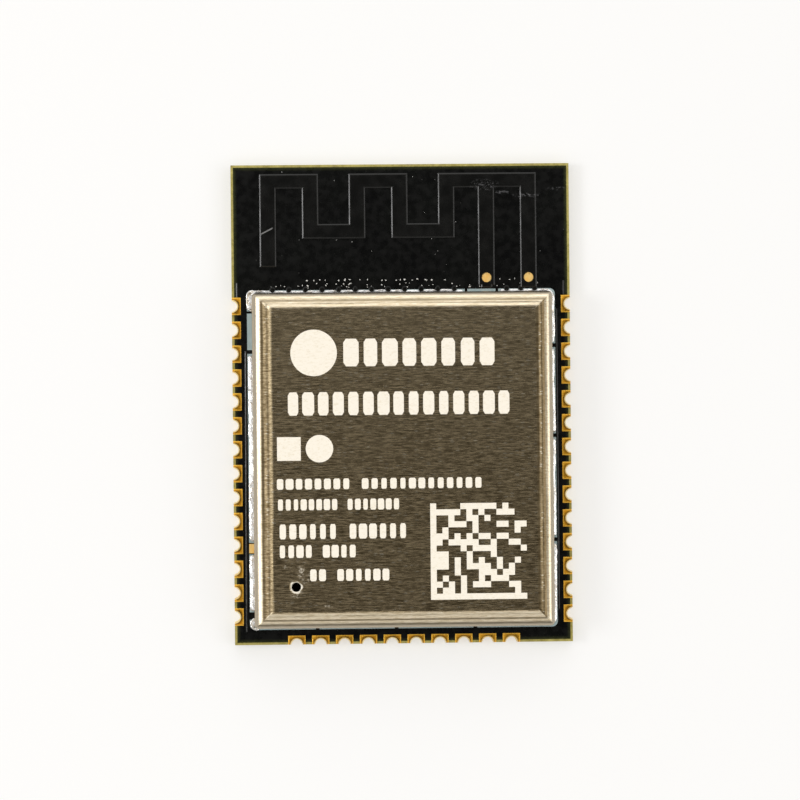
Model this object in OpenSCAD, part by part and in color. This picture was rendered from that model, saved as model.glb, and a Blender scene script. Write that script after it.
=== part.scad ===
// Castellated radio module.
// A thin board carries a printed meander antenna at one end, half-hole pads on the other three
// edges, and a drawn metal can over its circuit. Underneath, nine squares sink the heat.
// Millimetres. The origin is the middle of the underside, +Y runs to the antenna end, +Z is up.

/* [Board] */
// Width across the two long rows of pads
board_w = 18; // [17.8:0.1:19]
// Length from the antenna end to the pad end
board_l = 25.5; // [25.3:0.1:28]
// Thickness over the copper of both faces
board_t = 0.8; // [0.6:0.1:1.2]
// Thickness of the copper on each face
copper_t = 0.04; // [0.03:0.005:0.06]
// Thickness of the solder mask
mask_t = 0.025; // [0.015:0.005:0.028]
// Bare laminate between the mask and the edge of the board
mask_setback = 0.13; // [0.08:0.01:0.2]

/* [Edge pads] */
// Distance between neighbouring pads
pad_pitch = 1.27; // [1.2:0.01:1.3]
// Width of a pad along the edge
pad_w = 0.93; // [0.8:0.01:1]
// Reach of a pad on the upper face
top_pad_l = 0.48; // [0.42:0.01:0.5]
// Reach of a pad on the underside
bottom_pad_l = 0.85; // [0.6:0.05:1.2]
// Diameter of the plated half-hole
half_hole_d = 0.6; // [0.4:0.05:0.65]
// Thickness of the plating in the half-hole
plating_t = 0.04; // [0.03:0.01:0.06]
// Distance from the can's wall at the antenna end to the middle of the first side pad
first_pad_gap = 0.63; // [0.6:0.01:0.9]
// Least distance from the pad end of the board to the middle of a side pad
side_pad_margin = 1.4; // [1.3:0.05:2]
// Least distance from a long edge of the board to the middle of an end pad
end_pad_margin = 3; // [2:0.1:4]

/* [Ground squares] */
// Side of one square
ground_side = 0.9; // [0.6:0.1:1.2]
// Distance between neighbouring squares
ground_pitch = 1.4; // [1.3:0.1:1.6]
// Number of squares in a row and in a column
ground_count = 3; // [2:1:3]

/* [Antenna] */
// Length of the board that the antenna has to itself
antenna_l = 6.86; // [6.5:0.02:7.5]
// Width of the upright legs
leg_w = 0.85; // [0.7:0.05:1]
// Distance between two legs that a bar joins at the end of the board
high_bar_pitch = 2.26; // [2.1:0.02:2.35]
// Distance between two legs that a bar joins at the foot of a fold
low_bar_pitch = 2.49; // [2.3:0.01:2.6]
// Distance from the last fold to the feed leg
feed_pitch = 2.12; // [2:0.02:2.2]
// Distance from the feed leg to the grounded leg
grounded_pitch = 2.24; // [2.1:0.02:2.4]
// How far the antenna sits off the middle of the board
antenna_shift = -0.12; // [-0.3:0.02:0.3]
// Width of the bars that join them
bar_w = 0.76; // [0.6:0.02:0.9]
// Distance from the end of the board to the first bars
antenna_edge = 0.49; // [0.4:0.01:0.6]
// Reach of the folds, over both bars
fold_l = 3.43; // [3:0.01:3.8]
// Length of the open leg
open_leg_l = 4.92; // [4.5:0.02:5.2]
// Width of the neck that leads the feed away from its leg
feed_neck_w = 0.58; // [0.4:0.02:0.7]
// Diameter of the two test points
test_point_d = 0.51; // [0.4:0.01:0.6]
// Distance of the test points from the can's strip of solder
test_point_gap = 0.6; // [0.5:0.01:0.7]

/* [Shield can] */
// Distance from each long edge of the board to the can
can_side = 1.1; // [1:0.02:1.3]
// Distance from the pad end of the board to the can
can_margin = 1; // [1:0.05:1.3]
// Height of the whole module
module_h = 3.1; // [2.9:0.05:3.6]
// Thickness of the sheet
sheet_t = 0.15; // [0.1:0.01:0.2]
// Plan radius of the can's corners
can_corner_r = 0.22; // [0.2:0.02:0.4]
// Radius of the bend from the wall to the top
bend_r = 0.3; // [0.25:0.01:0.4]
// Width of the outer terrace, from the wall
outer_terrace_w = 0.5; // [0.45:0.01:0.6]
// Width of both terraces, from the wall
rim_w = 0.86; // [0.75:0.01:1.1]
// Fall from the flat top to the bend
rim_drop = 0.1; // [0.06:0.01:0.14]
// Height of the small riser at the inner edge of each terrace
riser_h = 0.02; // [0.01:0.005:0.025]
// Width of that riser
riser_w = 0.04; // [0.02:0.01:0.06]
// Diameter of the vent hole
vent_d = 0.48; // [0.3:0.02:0.6]
// Diameter of the coined ring round the vent hole
vent_ring_d = 0.68; // [0.64:0.02:0.9]
// Depth of the coined ring
vent_ring_t = 0.03; // [0.02:0.01:0.05]
// Distance of the vent hole from the can's left wall
vent_side = 2.2; // [1.6:0.1:3]
// Distance of the vent hole from the can's wall at the pad end
vent_end = 2.2; // [1.6:0.1:3]

/* [Can joint] */
// Width of the land outside the can's long walls
land_out = 0.3; // [0.2:0.02:0.32]
// Width of the land outside the can's short walls
end_land_out = 0.2; // [0.16:0.02:0.24]
// Plan radius of the land's corners
land_corner_r = 0.3; // [0.2:0.05:0.4]
// Width of the land inside the can's wall
land_in = 0.15; // [0.1:0.05:0.25]
// Height of the solder up the wall
solder_h = 0.26; // [0.2:0.02:0.34]
// Thickness of the solder where it runs out
solder_edge_t = 0.03; // [0.02:0.01:0.05]
// Distance from the edge of that land to the middle of the tented vias
via_out = 0.04; // [0:0.01:0.06]
// Diameter of the tented vias that bite into the land at the antenna side
via_d = 0.3; // [0.2:0.02:0.36]
// Distance between those vias, up to the antenna's feed
via_pitch = 0.88; // [0.7:0.02:1]
// Distance between the vias past the feed
far_via_pitch = 0.75; // [0.6:0.02:0.9]
// Distance from the can's left wall to the first via
first_via = 1.06; // [0.8:0.02:1.2]
// Height of the relief in the wall where the land is broken
relief_h = 0.2; // [0.1:0.02:0.3]
// Width of a break in the land
break_w = 0.2; // [0.12:0.02:0.3]
// Width of the land across the antenna's feed
feed_window_w = 1.5; // [1.2:0.05:1.8]
// Width of the bare spot of plating beside the can
spot_w = 0.3; // [0.2:0.02:0.4]
// Length of that spot
spot_l = 0.5; // [0.4:0.02:0.6]
// Gap between the spot and the land at its two ends
spot_gap = 0.06; // [0.04:0.01:0.1]
// How far the feed's length of land sits to the left of the feed
feed_window_shift = 0.28; // [0.2:0.01:0.4]

/* [Processor] */
// Side of the processor package
proc_side = 5; // [4.8:0.1:5.2]
// Height of the processor package
proc_h = 0.85; // [0.7:0.05:1]
// Distance between its contacts
proc_pitch = 0.35; // [0.32:0.01:0.36]
// Contacts on each side
proc_contacts = 12; // [8:1:12]
// Width of a contact
contact_w = 0.18; // [0.12:0.01:0.2]
// Length of a contact
contact_l = 0.35; // [0.25:0.05:0.45]
// Height of a contact
contact_h = 0.2; // [0.15:0.01:0.25]
// Side of the heat pad under the processor
heat_pad_side = 3.3; // [3:0.1:3.6]
// Diameter of the dot that marks contact one
mark_d = 0.4; // [0.3:0.05:0.6]
// Depth of that dot
mark_t = 0.05; // [0.03:0.01:0.1]
// Distance of the dot from both edges of its package
mark_inset = 0.65; // [0.6:0.05:0.8]
// Radius of the package's corners
proc_corner_r = 0.1; // [0.05:0.01:0.2]
// How far the processor sits to the left of the can's middle
proc_left = 1.5; // [1.3:0.05:1.7]
// How far it sits towards the antenna from the can's middle
proc_up = 0.41; // [0.3:0.01:0.5]

/* [Memory] */
// Length of the memory package along its leads
mem_l = 4.9; // [4.8:0.1:5.1]
// Width of its body
mem_w = 3.9; // [3.8:0.1:4.1]
// Width over its leads
mem_span = 6; // [5.8:0.1:6.1]
// Distance between its leads
mem_pitch = 1.27; // [1.2:0.01:1.3]
// Height of its top over the board
mem_h = 1.5; // [1.35:0.05:1.6]
// Gap under the body
mem_standoff = 0.12; // [0.1:0.02:0.2]
// Thickness of a lead
lead_t = 0.2; // [0.15:0.01:0.22]
// Width of a lead
lead_w = 0.42; // [0.35:0.01:0.5]
// Length of a lead's foot
lead_foot = 0.55; // [0.45:0.05:0.65]
// Length of the straight shoulder where a lead leaves the body
lead_shoulder = 0.22; // [0.15:0.01:0.25]
// How far each half of the body draws in from the parting line
mould_draw = 0.12; // [0.08:0.01:0.16]

/* [Crystal] */
// Length of the crystal package
crystal_l = 3.2; // [3.1:0.05:3.3]
// Width of the crystal package
crystal_w = 2.5; // [2.4:0.05:2.6]
// Height of its ceramic base
crystal_base_h = 0.5; // [0.4:0.05:0.6]
// Height of its lid
crystal_lid_h = 0.22; // [0.15:0.01:0.3]
// Bare ceramic round the lid
crystal_rim = 0.18; // [0.14:0.02:0.24]
// Radius of the lid's corners
crystal_lid_r = 0.3; // [0.2:0.05:0.4]
// Radius of the notches in the base's corners
crystal_notch_r = 0.14; // [0.1:0.01:0.2]

/* [Small parts] */
// Length of a small capacitor, resistor or inductor
chip_l = 1; // [0.9:0.05:1.05]
// Width of a small part
chip_w = 0.5; // [0.4:0.05:0.55]
// Height of a small capacitor
capacitor_h = 0.5; // [0.4:0.05:0.6]
// Height of a small resistor
resistor_h = 0.35; // [0.3:0.05:0.4]
// Height of a small inductor
inductor_h = 0.55; // [0.45:0.05:0.6]
// Length of each metal end
end_l = 0.24; // [0.2:0.01:0.28]
// How far the metal ends stand out over the body
end_proud = 0.02; // [0.01:0.01:0.04]
// Size of a reservoir capacitor against a small one
reservoir_scale = 1.6; // [1.5:0.05:1.7]
// Distance between neighbouring small parts in a row
chip_pitch = 1.15; // [1.1:0.05:1.2]
// Distance from the processor to the middle of the small parts round it
chip_gap = 0.98; // [0.95:0.01:1.1]
// Clear board between the can's land and the lands of the parts beside it
part_margin = 0.2; // [0.15:0.01:0.3]
// How far a land reaches out past its part
land_reach = 0.15; // [0.1:0.01:0.18]
// How far a land reaches out beside its part
land_side = 0.04; // [0.02:0.01:0.06]

/* [Hidden] */
$fn = 48;

// Extra length of every cutting shape past the face that it cuts
cut = 0.5;

// Height of the laminate's upper face
core_top = board_t - copper_t;

// The can, between the board's long edges and between the antenna and the end pads
can_w = board_w - 2 * can_side;
can_l = board_l - antenna_l - can_margin;
can_h = module_h - board_t;
can_y = -board_l / 2 + can_margin + can_l / 2;
can_top_y = can_y + can_l / 2;
can_end_y = can_y - can_l / 2;

// As many pads as fit along each edge
first_pad_y = can_top_y - first_pad_gap;
side_pads = floor((first_pad_y + board_l / 2 - side_pad_margin) / pad_pitch) + 1;
end_pads = floor((board_w - 2 * end_pad_margin) / pad_pitch) + 1;

// The strip of copper that it stands on
land_inset = sheet_t + land_in;
land_top_y = can_top_y + end_land_out;

// Antenna: the middles of its legs, from the open end to the grounded one
antenna_span = 2 * (high_bar_pitch + low_bar_pitch) + feed_pitch + grounded_pitch;
leg_0 = antenna_shift - antenna_span / 2;
leg_1 = leg_0 + high_bar_pitch;
leg_2 = leg_1 + low_bar_pitch;
leg_3 = leg_2 + high_bar_pitch;
leg_4 = leg_3 + low_bar_pitch;
feed_x = leg_4 + feed_pitch;
grounded_x = feed_x + grounded_pitch;
antenna_y = board_l / 2 - antenna_edge;
fold_y = antenna_y - fold_l;
test_point_y = land_top_y + test_point_gap;
test_point_t = copper_t / 4;
track_end_y = land_top_y + end_land_out / 3;

// Breaks in the can's land. On the sides: [1 from the antenna end or -1 from the pad end,
// distance from that end of the can, width]. On the end: distance from the can's middle.
spot_break_w = spot_l + 2 * spot_gap;
left_breaks = [
    [1, 0.96, break_w * 0.6], [1, 3.06, break_w],
    [-1, 4.13, spot_break_w], [-1, 0.55, break_w * 2]
];
right_breaks = [[1, 2.84, break_w], [1, 7.64, break_w], [-1, 4.45, break_w]];
end_breaks = [-4.6, -0.4, 3.8];
feed_break_w = break_w * 0.7;
window_x = feed_x - feed_window_shift;

// Vias beside the land: up to the feed's window, and past it to the other corner
via_start = -can_w / 2 + first_via;
window_reach = feed_window_w / 2 + feed_break_w + via_d / 2;
vias_before = floor((window_x - window_reach - via_start) / via_pitch);
via_restart = window_x + window_reach + via_d;
vias_after = floor((can_w / 2 - via_d - via_restart) / far_via_pitch);

// Places of the parts under the can, each from the wall or the part that it stands beside
wall_gap = land_inset + part_margin + land_reach;
chip_from_wall = wall_gap + chip_l / 2;
proc_x = -proc_left;
proc_y = can_y + proc_up;
mem_x = can_w / 2 - wall_gap - mem_span / 2;
mem_y = can_end_y + wall_gap + mem_l / 2;
crystal_x = -can_w / 2 + wall_gap + crystal_l / 2;
crystal_y = can_top_y - wall_gap - crystal_w / 2;
reservoir_l = chip_l * reservoir_scale;
reservoir_x = crystal_x + crystal_l / 2 + 2 * land_reach + part_margin + reservoir_l / 2;
reservoir_y = can_top_y - wall_gap - chip_w * reservoir_scale / 2;
reservoir_pitch = reservoir_l + 2 * land_reach + 2 * part_margin;
beside_proc = proc_side / 2 + chip_gap;
near_match_y = can_top_y - wall_gap - chip_l / 2 - part_margin;
far_match_y = near_match_y - 2 * chip_l - part_margin;
shunt_y = near_match_y - chip_l + end_l / 2;
shunt_x = chip_l + part_margin;
capacitor_places = concat(
    [for (i = [0 : 3]) [proc_x + (i - 1.5) * chip_pitch, proc_y + beside_proc, 90]],
    [for (i = [0 : 2]) [proc_x + (i - 1) * chip_pitch, proc_y - beside_proc, 90]],
    [for (i = [0 : 2]) [proc_x - beside_proc, proc_y + (i - 1) * chip_pitch, 0]],
    [for (i = [0 : 2]) [proc_x + beside_proc, proc_y + (i - 1) * chip_pitch, 0]],
    [for (side = [-1, 1]) [feed_x + side * shunt_x, shunt_y, 0]],
    [[mem_x - mem_span / 2 - chip_pitch, mem_y, 90]]
);
resistor_places = concat(
    [for (i = [0 : 3]) [-can_w / 2 + chip_from_wall, can_end_y + wall_gap + (i + 0.5) * chip_pitch, 0]],
    [for (i = [0 : 2]) [proc_x - (2 - i) * chip_pitch, can_end_y + chip_from_wall + chip_l, 90]],
    [for (i = [0 : 2]) [can_w / 2 - chip_from_wall, proc_y + (i - 1) * chip_pitch, 0]]
);
inductor_places = [
    [feed_x, near_match_y, 90],
    [feed_x, far_match_y, 90],
    [feed_x - shunt_x - chip_w, far_match_y - chip_l, 0]
];
reservoir_places = [for (i = [0, 1]) [reservoir_x + i * reservoir_pitch, reservoir_y, 0]];
chip_size = [chip_l, chip_w];
reservoir_size = chip_size * reservoir_scale;

// A rectangle with round corners, about its middle
module round_rect(w, l, r) {
    square([w - 2 * r, l], center = true);
    square([w, l - 2 * r], center = true);
    for (sx = [-1, 1], sy = [-1, 1])
        translate([sx * (w / 2 - r), sy * (l / 2 - r)])
            circle(r);
}

// Puts its children at each pad of the left side, with the board's edge at x = 0
module at_left_pads() {
    for (i = [0 : side_pads - 1])
        translate([-board_w / 2, first_pad_y - i * pad_pitch])
            children();
}

module at_right_pads() {
    mirror([1, 0, 0])
        at_left_pads()
            children();
}

module at_end_pads() {
    for (i = [0 : end_pads - 1])
        translate([(i - (end_pads - 1) / 2) * pad_pitch, -board_l / 2])
            rotate(90)
                children();
}

module at_all_pads() {
    at_left_pads() children();
    at_right_pads() children();
    at_end_pads() children();
}

// The outline of one pad on a face of the board
module pad_outline(reach) {
    translate([0, -pad_w / 2])
        square([reach, pad_w]);
}

// One pad: a land on each face, joined by the plated wall of the half-hole
module castellation() {
    difference() {
        union() {
            translate([0, 0, core_top])
                linear_extrude(copper_t) pad_outline(top_pad_l);
            linear_extrude(copper_t) pad_outline(bottom_pad_l);
            linear_extrude(board_t)
                intersection() {
                    circle(half_hole_d / 2 + plating_t);
                    pad_outline(top_pad_l);
                }
        }
        translate([0, 0, -cut])
            cylinder(d = half_hole_d, h = board_t + 2 * cut);
    }
}

// Glass-epoxy laminate with a notch at every pad
module board_core() {
    color("darkolivegreen")
        translate([0, 0, copper_t])
            linear_extrude(core_top - copper_t)
                difference() {
                    square([board_w, board_l], center = true);
                    at_all_pads() circle(half_hole_d / 2 + plating_t);
                }
}

// Plan of the mask on either face, inside the bare edge
module mask_outline() {
    square([board_w - 2 * mask_setback, board_l - 2 * mask_setback], center = true);
}

// Plan of the antenna's track, wider by a margin all round
module antenna_plan(margin = 0) {
    module block(left, right, low, high) {
        translate([left - margin, low - margin])
            square([right - left + 2 * margin, high - low + 2 * margin]);
    }
    module leg(x, low) {
        block(x - leg_w / 2, x + leg_w / 2, low, antenna_y);
    }
    module bar(x1, x2, low) {
        block(x1 - leg_w / 2, x2 + leg_w / 2, low, low + bar_w);
    }
    leg(leg_0, antenna_y - open_leg_l);
    for (x = [leg_1, leg_2, leg_3, leg_4]) leg(x, fold_y);
    leg(feed_x, test_point_y);
    leg(grounded_x, track_end_y);
    bar(leg_0, leg_1, antenna_y - bar_w);
    bar(leg_1, leg_2, fold_y);
    bar(leg_2, leg_3, antenna_y - bar_w);
    bar(leg_3, leg_4, fold_y);
    bar(leg_4, grounded_x, antenna_y - bar_w);
    block(feed_x - feed_neck_w / 2, feed_x + feed_neck_w / 2, track_end_y, test_point_y + leg_w / 2);
}

module test_point_plan() {
    for (x = [feed_x, grounded_x])
        translate([x, test_point_y])
            circle(d = test_point_d);
}

// Bare spot of plating in the wide break of the land's left side
module spot_plan() {
    translate([-can_w / 2 - land_out / 2, can_end_y + left_breaks[2][1]])
        square([spot_w, spot_l], center = true);
}

// Black mask on the upper face, open at every bare piece of copper and raised over the antenna
module top_solder_mask() {
    color("black")
        translate([0, 0, core_top]) {
            difference() {
                union() {
                    linear_extrude(mask_t)
                        difference() {
                            mask_outline();
                            at_all_pads() pad_outline(top_pad_l);
                            shield_land_plan();
                            spot_plan();
                            component_land_plan();
                        }
                    linear_extrude(copper_t + mask_t)
                        antenna_plan(mask_t);
                }
                translate([0, 0, -cut])
                    linear_extrude(copper_t + cut)
                        antenna_plan();
                translate([0, 0, -cut])
                    linear_extrude(copper_t + mask_t + 2 * cut)
                        test_point_plan();
            }
        }
}

module bottom_solder_mask() {
    color("black")
        translate([0, 0, copper_t - mask_t])
            linear_extrude(mask_t)
                difference() {
                    mask_outline();
                    at_all_pads() pad_outline(bottom_pad_l);
                    ground_plan();
                }
}

// Folded track of the antenna, one piece of copper
module antenna_track() {
    color("peru")
        translate([0, 0, core_top])
            linear_extrude(copper_t)
                antenna_plan();
}

// Gold plating where the mask leaves the antenna bare, and the bare spot beside the can
module test_points() {
    color("gold") {
        translate([0, 0, board_t])
            linear_extrude(test_point_t)
                test_point_plan();
        translate([0, 0, core_top])
            linear_extrude(copper_t)
                spot_plan();
    }
}

module left_castellations() {
    color("goldenrod")
        at_left_pads() castellation();
}

module right_castellations() {
    color("goldenrod")
        at_right_pads() castellation();
}

module end_castellations() {
    color("goldenrod")
        at_end_pads() castellation();
}

module ground_plan() {
    for (i = [0 : ground_count - 1], j = [0 : ground_count - 1])
        translate([proc_x, proc_y] + ground_pitch * ([i, j] - [1, 1] * (ground_count - 1) / 2))
            square(ground_side, center = true);
}

// Squares of copper on the underside that take the processor's heat
module ground_squares() {
    color("goldenrod")
        linear_extrude(copper_t)
            ground_plan();
}

// Bars across the ring of land, one at each break
module land_break_plan() {
    reach = land_out + land_inset + cut;
    for (side = [-1, 1], b = side < 0 ? left_breaks : right_breaks)
        translate([side * (can_w / 2 - land_inset + reach / 2), can_y + b[0] * (can_l / 2 - b[1])])
            square([reach, b[2]], center = true);
    for (x = end_breaks)
        translate([x, can_end_y + land_inset - reach / 2])
            square([break_w, reach], center = true);
    for (side = [-1, 1])
        translate([window_x + side * (feed_window_w + feed_break_w) / 2, can_top_y])
            square([feed_break_w, 2 * reach], center = true);
}

// Tented vias that bite into the outer edge of the land on the antenna's side
module via_plan() {
    for (i = [0 : vias_before])
        translate([via_start + i * via_pitch, land_top_y + via_out])
            circle(d = via_d);
    for (i = [0 : vias_after])
        translate([via_restart + i * far_via_pitch, land_top_y + via_out])
            circle(d = via_d);
}

// Plan of the ring of land under the can's wall, in separate lengths
module shield_land_plan() {
    difference() {
        translate([0, can_y])
            difference() {
                round_rect(can_w + 2 * land_out, can_l + 2 * end_land_out, land_corner_r);
                square([can_w - 2 * land_inset, can_l - 2 * land_inset], center = true);
            }
        land_break_plan();
        via_plan();
    }
}

module shield_land() {
    color("silver")
        translate([0, 0, core_top])
            linear_extrude(copper_t)
                shield_land_plan();
}

// Section of the can through its middle, with its foot at y = 0; inset gives the inner face
module can_section(span, inset) {
    half = span / 2 - inset;
    top = can_h - inset;
    r = bend_r - inset;
    ledge = top - rim_drop;
    translate([-half, 0]) square([2 * half, ledge - r]);
    translate([-half + r, 0]) square([2 * (half - r), ledge]);
    for (side = [-1, 1])
        translate([side * (half - r), ledge - r]) circle(r);
    step_z = (top + ledge) / 2;
    right = [
        [half - r, ledge],
        [half - outer_terrace_w, step_z - riser_h],
        [half - outer_terrace_w - riser_w, step_z],
        [half - rim_w + riser_w, top - riser_h],
        [half - rim_w, top]
    ];
    left = [for (i = [len(right) - 1 : -1 : 0]) [-right[i][0], right[i][1]]];
    polygon(concat([[-half + r, ledge - r], [half - r, ledge - r]], right, left));
}

// One face of the can as a solid block: the plan cut by the sections across both ways
module can_block(inset, foot) {
    intersection() {
        translate([0, 0, -foot])
            linear_extrude(can_h + foot + cut)
                round_rect(can_w - 2 * inset, can_l - 2 * inset, max(can_corner_r - inset, sheet_t / 4));
        translate([0, can_l / 2, 0])
            rotate([90, 0, 0])
                linear_extrude(can_l)
                    union() {
                        can_section(can_w, inset);
                        translate([-can_w / 2, -foot]) square([can_w, foot + cut]);
                    }
        translate([-can_w / 2, 0, 0])
            rotate([90, 0, 90])
                linear_extrude(can_w)
                    union() {
                        can_section(can_l, inset);
                        translate([-can_l / 2, -foot]) square([can_l, foot + cut]);
                    }
    }
}

// Drawn can: bent rim with two low terraces, vent hole, and reliefs over the breaks in the land
module shield_can() {
    color("silver")
        difference() {
            translate([0, can_y, board_t])
                difference() {
                    can_block(0, 0);
                    can_block(sheet_t, cut);
                    translate([-can_w / 2 + vent_side, -can_l / 2 + vent_end, 0]) {
                        cylinder(d = vent_d, h = can_h + cut);
                        translate([0, 0, can_h - vent_ring_t])
                            cylinder(d = vent_ring_d, h = cut);
                    }
                }
            translate([0, 0, board_t - cut])
                linear_extrude(relief_h + cut)
                    land_break_plan();
        }
}

// Section of the solder: a hollow fillet against the wall, with its foot on the land
module solder_section(width) {
    height = solder_h * width / land_out;
    difference() {
        square([width, height]);
        translate([width, height])
            circle(min(width, height) - solder_edge_t);
    }
}

// Solder along one side of the can, from corner to corner
module solder_side(reach, length, width) {
    translate([reach, length / 2, 0])
        rotate([90, 0, 0])
            linear_extrude(length)
                solder_section(width);
}

// Solder round the can's foot, left flat and thin across the feed's window
module shield_solder() {
    long_l = can_l - 2 * can_corner_r;
    short_l = can_w - 2 * can_corner_r;
    color("lightgrey")
        difference() {
            translate([0, can_y, board_t])
                union() {
                    solder_side(can_w / 2, long_l, land_out);
                    mirror([1, 0, 0]) solder_side(can_w / 2, long_l, land_out);
                    rotate([0, 0, 90]) solder_side(can_l / 2, short_l, end_land_out);
                    rotate([0, 0, -90]) solder_side(can_l / 2, short_l, end_land_out);
                    for (sx = [0, 1], sy = [0, 1])
                        mirror([sx, 0, 0])
                            mirror([0, sy, 0])
                                translate([can_w / 2 - can_corner_r, can_l / 2 - can_corner_r, 0])
                                    rotate_extrude(angle = 90)
                                        translate([can_corner_r, 0]) solder_section(end_land_out);
                }
            translate([0, 0, board_t - cut])
                linear_extrude(solder_h + 2 * cut) {
                    land_break_plan();
                    via_plan();
                }
            translate([window_x, can_top_y + land_out / 2, board_t + solder_edge_t + cut])
                cube([feed_window_w + cut, land_out + cut, 2 * cut], center = true);
        }
}

// Puts its children at a place under the can, turned as that part is
module at(place) {
    translate([place[0], place[1]])
        rotate(place[2])
            children();
}

// Lands of one small part
module chip_lands(size) {
    land_l = end_l * size[0] / chip_l + land_reach;
    for (side = [-1, 1])
        translate([side * (size[0] / 2 + land_reach - land_l / 2), 0])
            square([land_l, size[1] + 2 * land_side], center = true);
}

// Leads of the memory, as places along its two sides
module at_memory_leads() {
    for (side = [0, 180], i = [0 : 3])
        translate([mem_x, mem_y])
            rotate(side)
                translate([0, (i - 1.5) * mem_pitch])
                    children();
}

// Contacts of the processor, with its edge at x = proc_side / 2
module at_processor_contacts() {
    for (turn = [0 : 90 : 270], i = [0 : proc_contacts - 1])
        translate([proc_x, proc_y])
            rotate(turn)
                translate([proc_side / 2, (i - (proc_contacts - 1) / 2) * proc_pitch])
                    children();
}

module component_land_plan() {
    for (p = capacitor_places) at(p) chip_lands(chip_size);
    for (p = reservoir_places) at(p) chip_lands(reservoir_size);
    for (p = resistor_places) at(p) chip_lands(chip_size);
    for (p = inductor_places) at(p) chip_lands(chip_size);
    at_memory_leads()
        translate([mem_span / 2 - lead_foot - land_side, -lead_w / 2 - land_side])
            square([lead_foot + land_side + land_reach, lead_w + 2 * land_side]);
    at_processor_contacts()
        translate([-contact_l, -contact_w / 2])
            square([contact_l + land_reach, contact_w]);
    translate([proc_x, proc_y])
        square(heat_pad_side, center = true);
    for (sx = [-1, 1], sy = [-1, 1])
        translate([crystal_x + sx * crystal_l / 3, crystal_y + sy * crystal_w / 3])
            square([crystal_l / 3 + land_reach, crystal_w / 3 + land_reach], center = true);
}

// Copper lands that the parts under the can are soldered to
module component_lands() {
    color("goldenrod")
        translate([0, 0, core_top])
            linear_extrude(copper_t)
                component_land_plan();
}

// Body of one small part, between its metal ends
module chip_body(size, h) {
    side = end_l * size[0] / chip_l;
    translate([0, 0, end_proud])
        linear_extrude(h - 2 * end_proud)
            square([size[0] - 2 * side, size[1] - 2 * end_proud], center = true);
}

// The two metal ends of one small part, rounded at their outer corners
module chip_ends(size, h) {
    side = end_l * size[0] / chip_l;
    r = side / 3;
    linear_extrude(h)
        for (turn = [0, 180])
            rotate(turn)
                translate([size[0] / 2 - side, -size[1] / 2]) {
                    square([side - r, size[1]]);
                    translate([0, r]) square([side, size[1] - 2 * r]);
                    for (y = [r, size[1] - r]) translate([side - r, y]) circle(r);
                }
}

// Puts its children on the lands of the board
module on_board() {
    translate([0, 0, board_t])
        children();
}

module capacitor_bodies() {
    color("tan")
        on_board() {
            for (p = capacitor_places) at(p) chip_body(chip_size, capacitor_h);
            for (p = reservoir_places)
                at(p) chip_body(reservoir_size, capacitor_h * reservoir_scale);
        }
}

module capacitor_ends() {
    color("silver")
        on_board() {
            for (p = capacitor_places) at(p) chip_ends(chip_size, capacitor_h);
            for (p = reservoir_places)
                at(p) chip_ends(reservoir_size, capacitor_h * reservoir_scale);
        }
}

module resistor_bodies() {
    color("dimgray")
        on_board()
            for (p = resistor_places) at(p) chip_body(chip_size, resistor_h);
}

module resistor_ends() {
    color("silver")
        on_board()
            for (p = resistor_places) at(p) chip_ends(chip_size, resistor_h);
}

module inductor_bodies() {
    color("lightblue")
        on_board()
            for (p = inductor_places) at(p) chip_body(chip_size, inductor_h);
}

module inductor_ends() {
    color("silver")
        on_board()
            for (p = inductor_places) at(p) chip_ends(chip_size, inductor_h);
}

// Leadless package, moulded round its contacts and its heat pad, with a dot at contact one
module processor_body() {
    color("#202020")
        difference() {
            translate([proc_x, proc_y, board_t])
                difference() {
                    linear_extrude(proc_h) round_rect(proc_side, proc_side, proc_corner_r);
                    translate([-proc_side / 2 + mark_inset, proc_side / 2 - mark_inset, proc_h - mark_t])
                        cylinder(d = mark_d, h = cut);
                }
            processor_contacts();
        }
}

module processor_contacts() {
    color("silver")
        on_board() {
            at_processor_contacts()
                translate([-contact_l, -contact_w / 2, 0])
                    cube([contact_l, contact_w, contact_h]);
            translate([proc_x, proc_y, contact_h / 2])
                cube([heat_pad_side, heat_pad_side, contact_h], center = true);
        }
}

// Height of the memory's parting line, where its leads come out
mem_lead_z = (mem_h + mem_standoff) / 2;

// Section of the memory's body across its leads: both halves draw in from the parting line
module memory_section(width) {
    draw = mould_draw;
    half = width / 2;
    polygon([
        [-half + draw, mem_standoff], [half - draw, mem_standoff],
        [half, mem_lead_z - lead_t / 2], [half, mem_lead_z + lead_t / 2],
        [half - draw, mem_h], [-half + draw, mem_h],
        [-half, mem_lead_z + lead_t / 2], [-half, mem_lead_z - lead_t / 2]
    ]);
}

module memory_body() {
    color("#202020")
        translate([mem_x, mem_y, board_t])
            difference() {
                intersection() {
                    translate([0, mem_l / 2, 0])
                        rotate([90, 0, 0])
                            linear_extrude(mem_l) memory_section(mem_w);
                    translate([-mem_w / 2, 0, 0])
                        rotate([90, 0, 90])
                            linear_extrude(mem_w) memory_section(mem_l);
                }
                translate([-mem_w / 2 + mark_inset, mem_l / 2 - mark_inset, mem_h - mark_t])
                    cylinder(d = mark_d, h = cut);
            }
}

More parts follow.
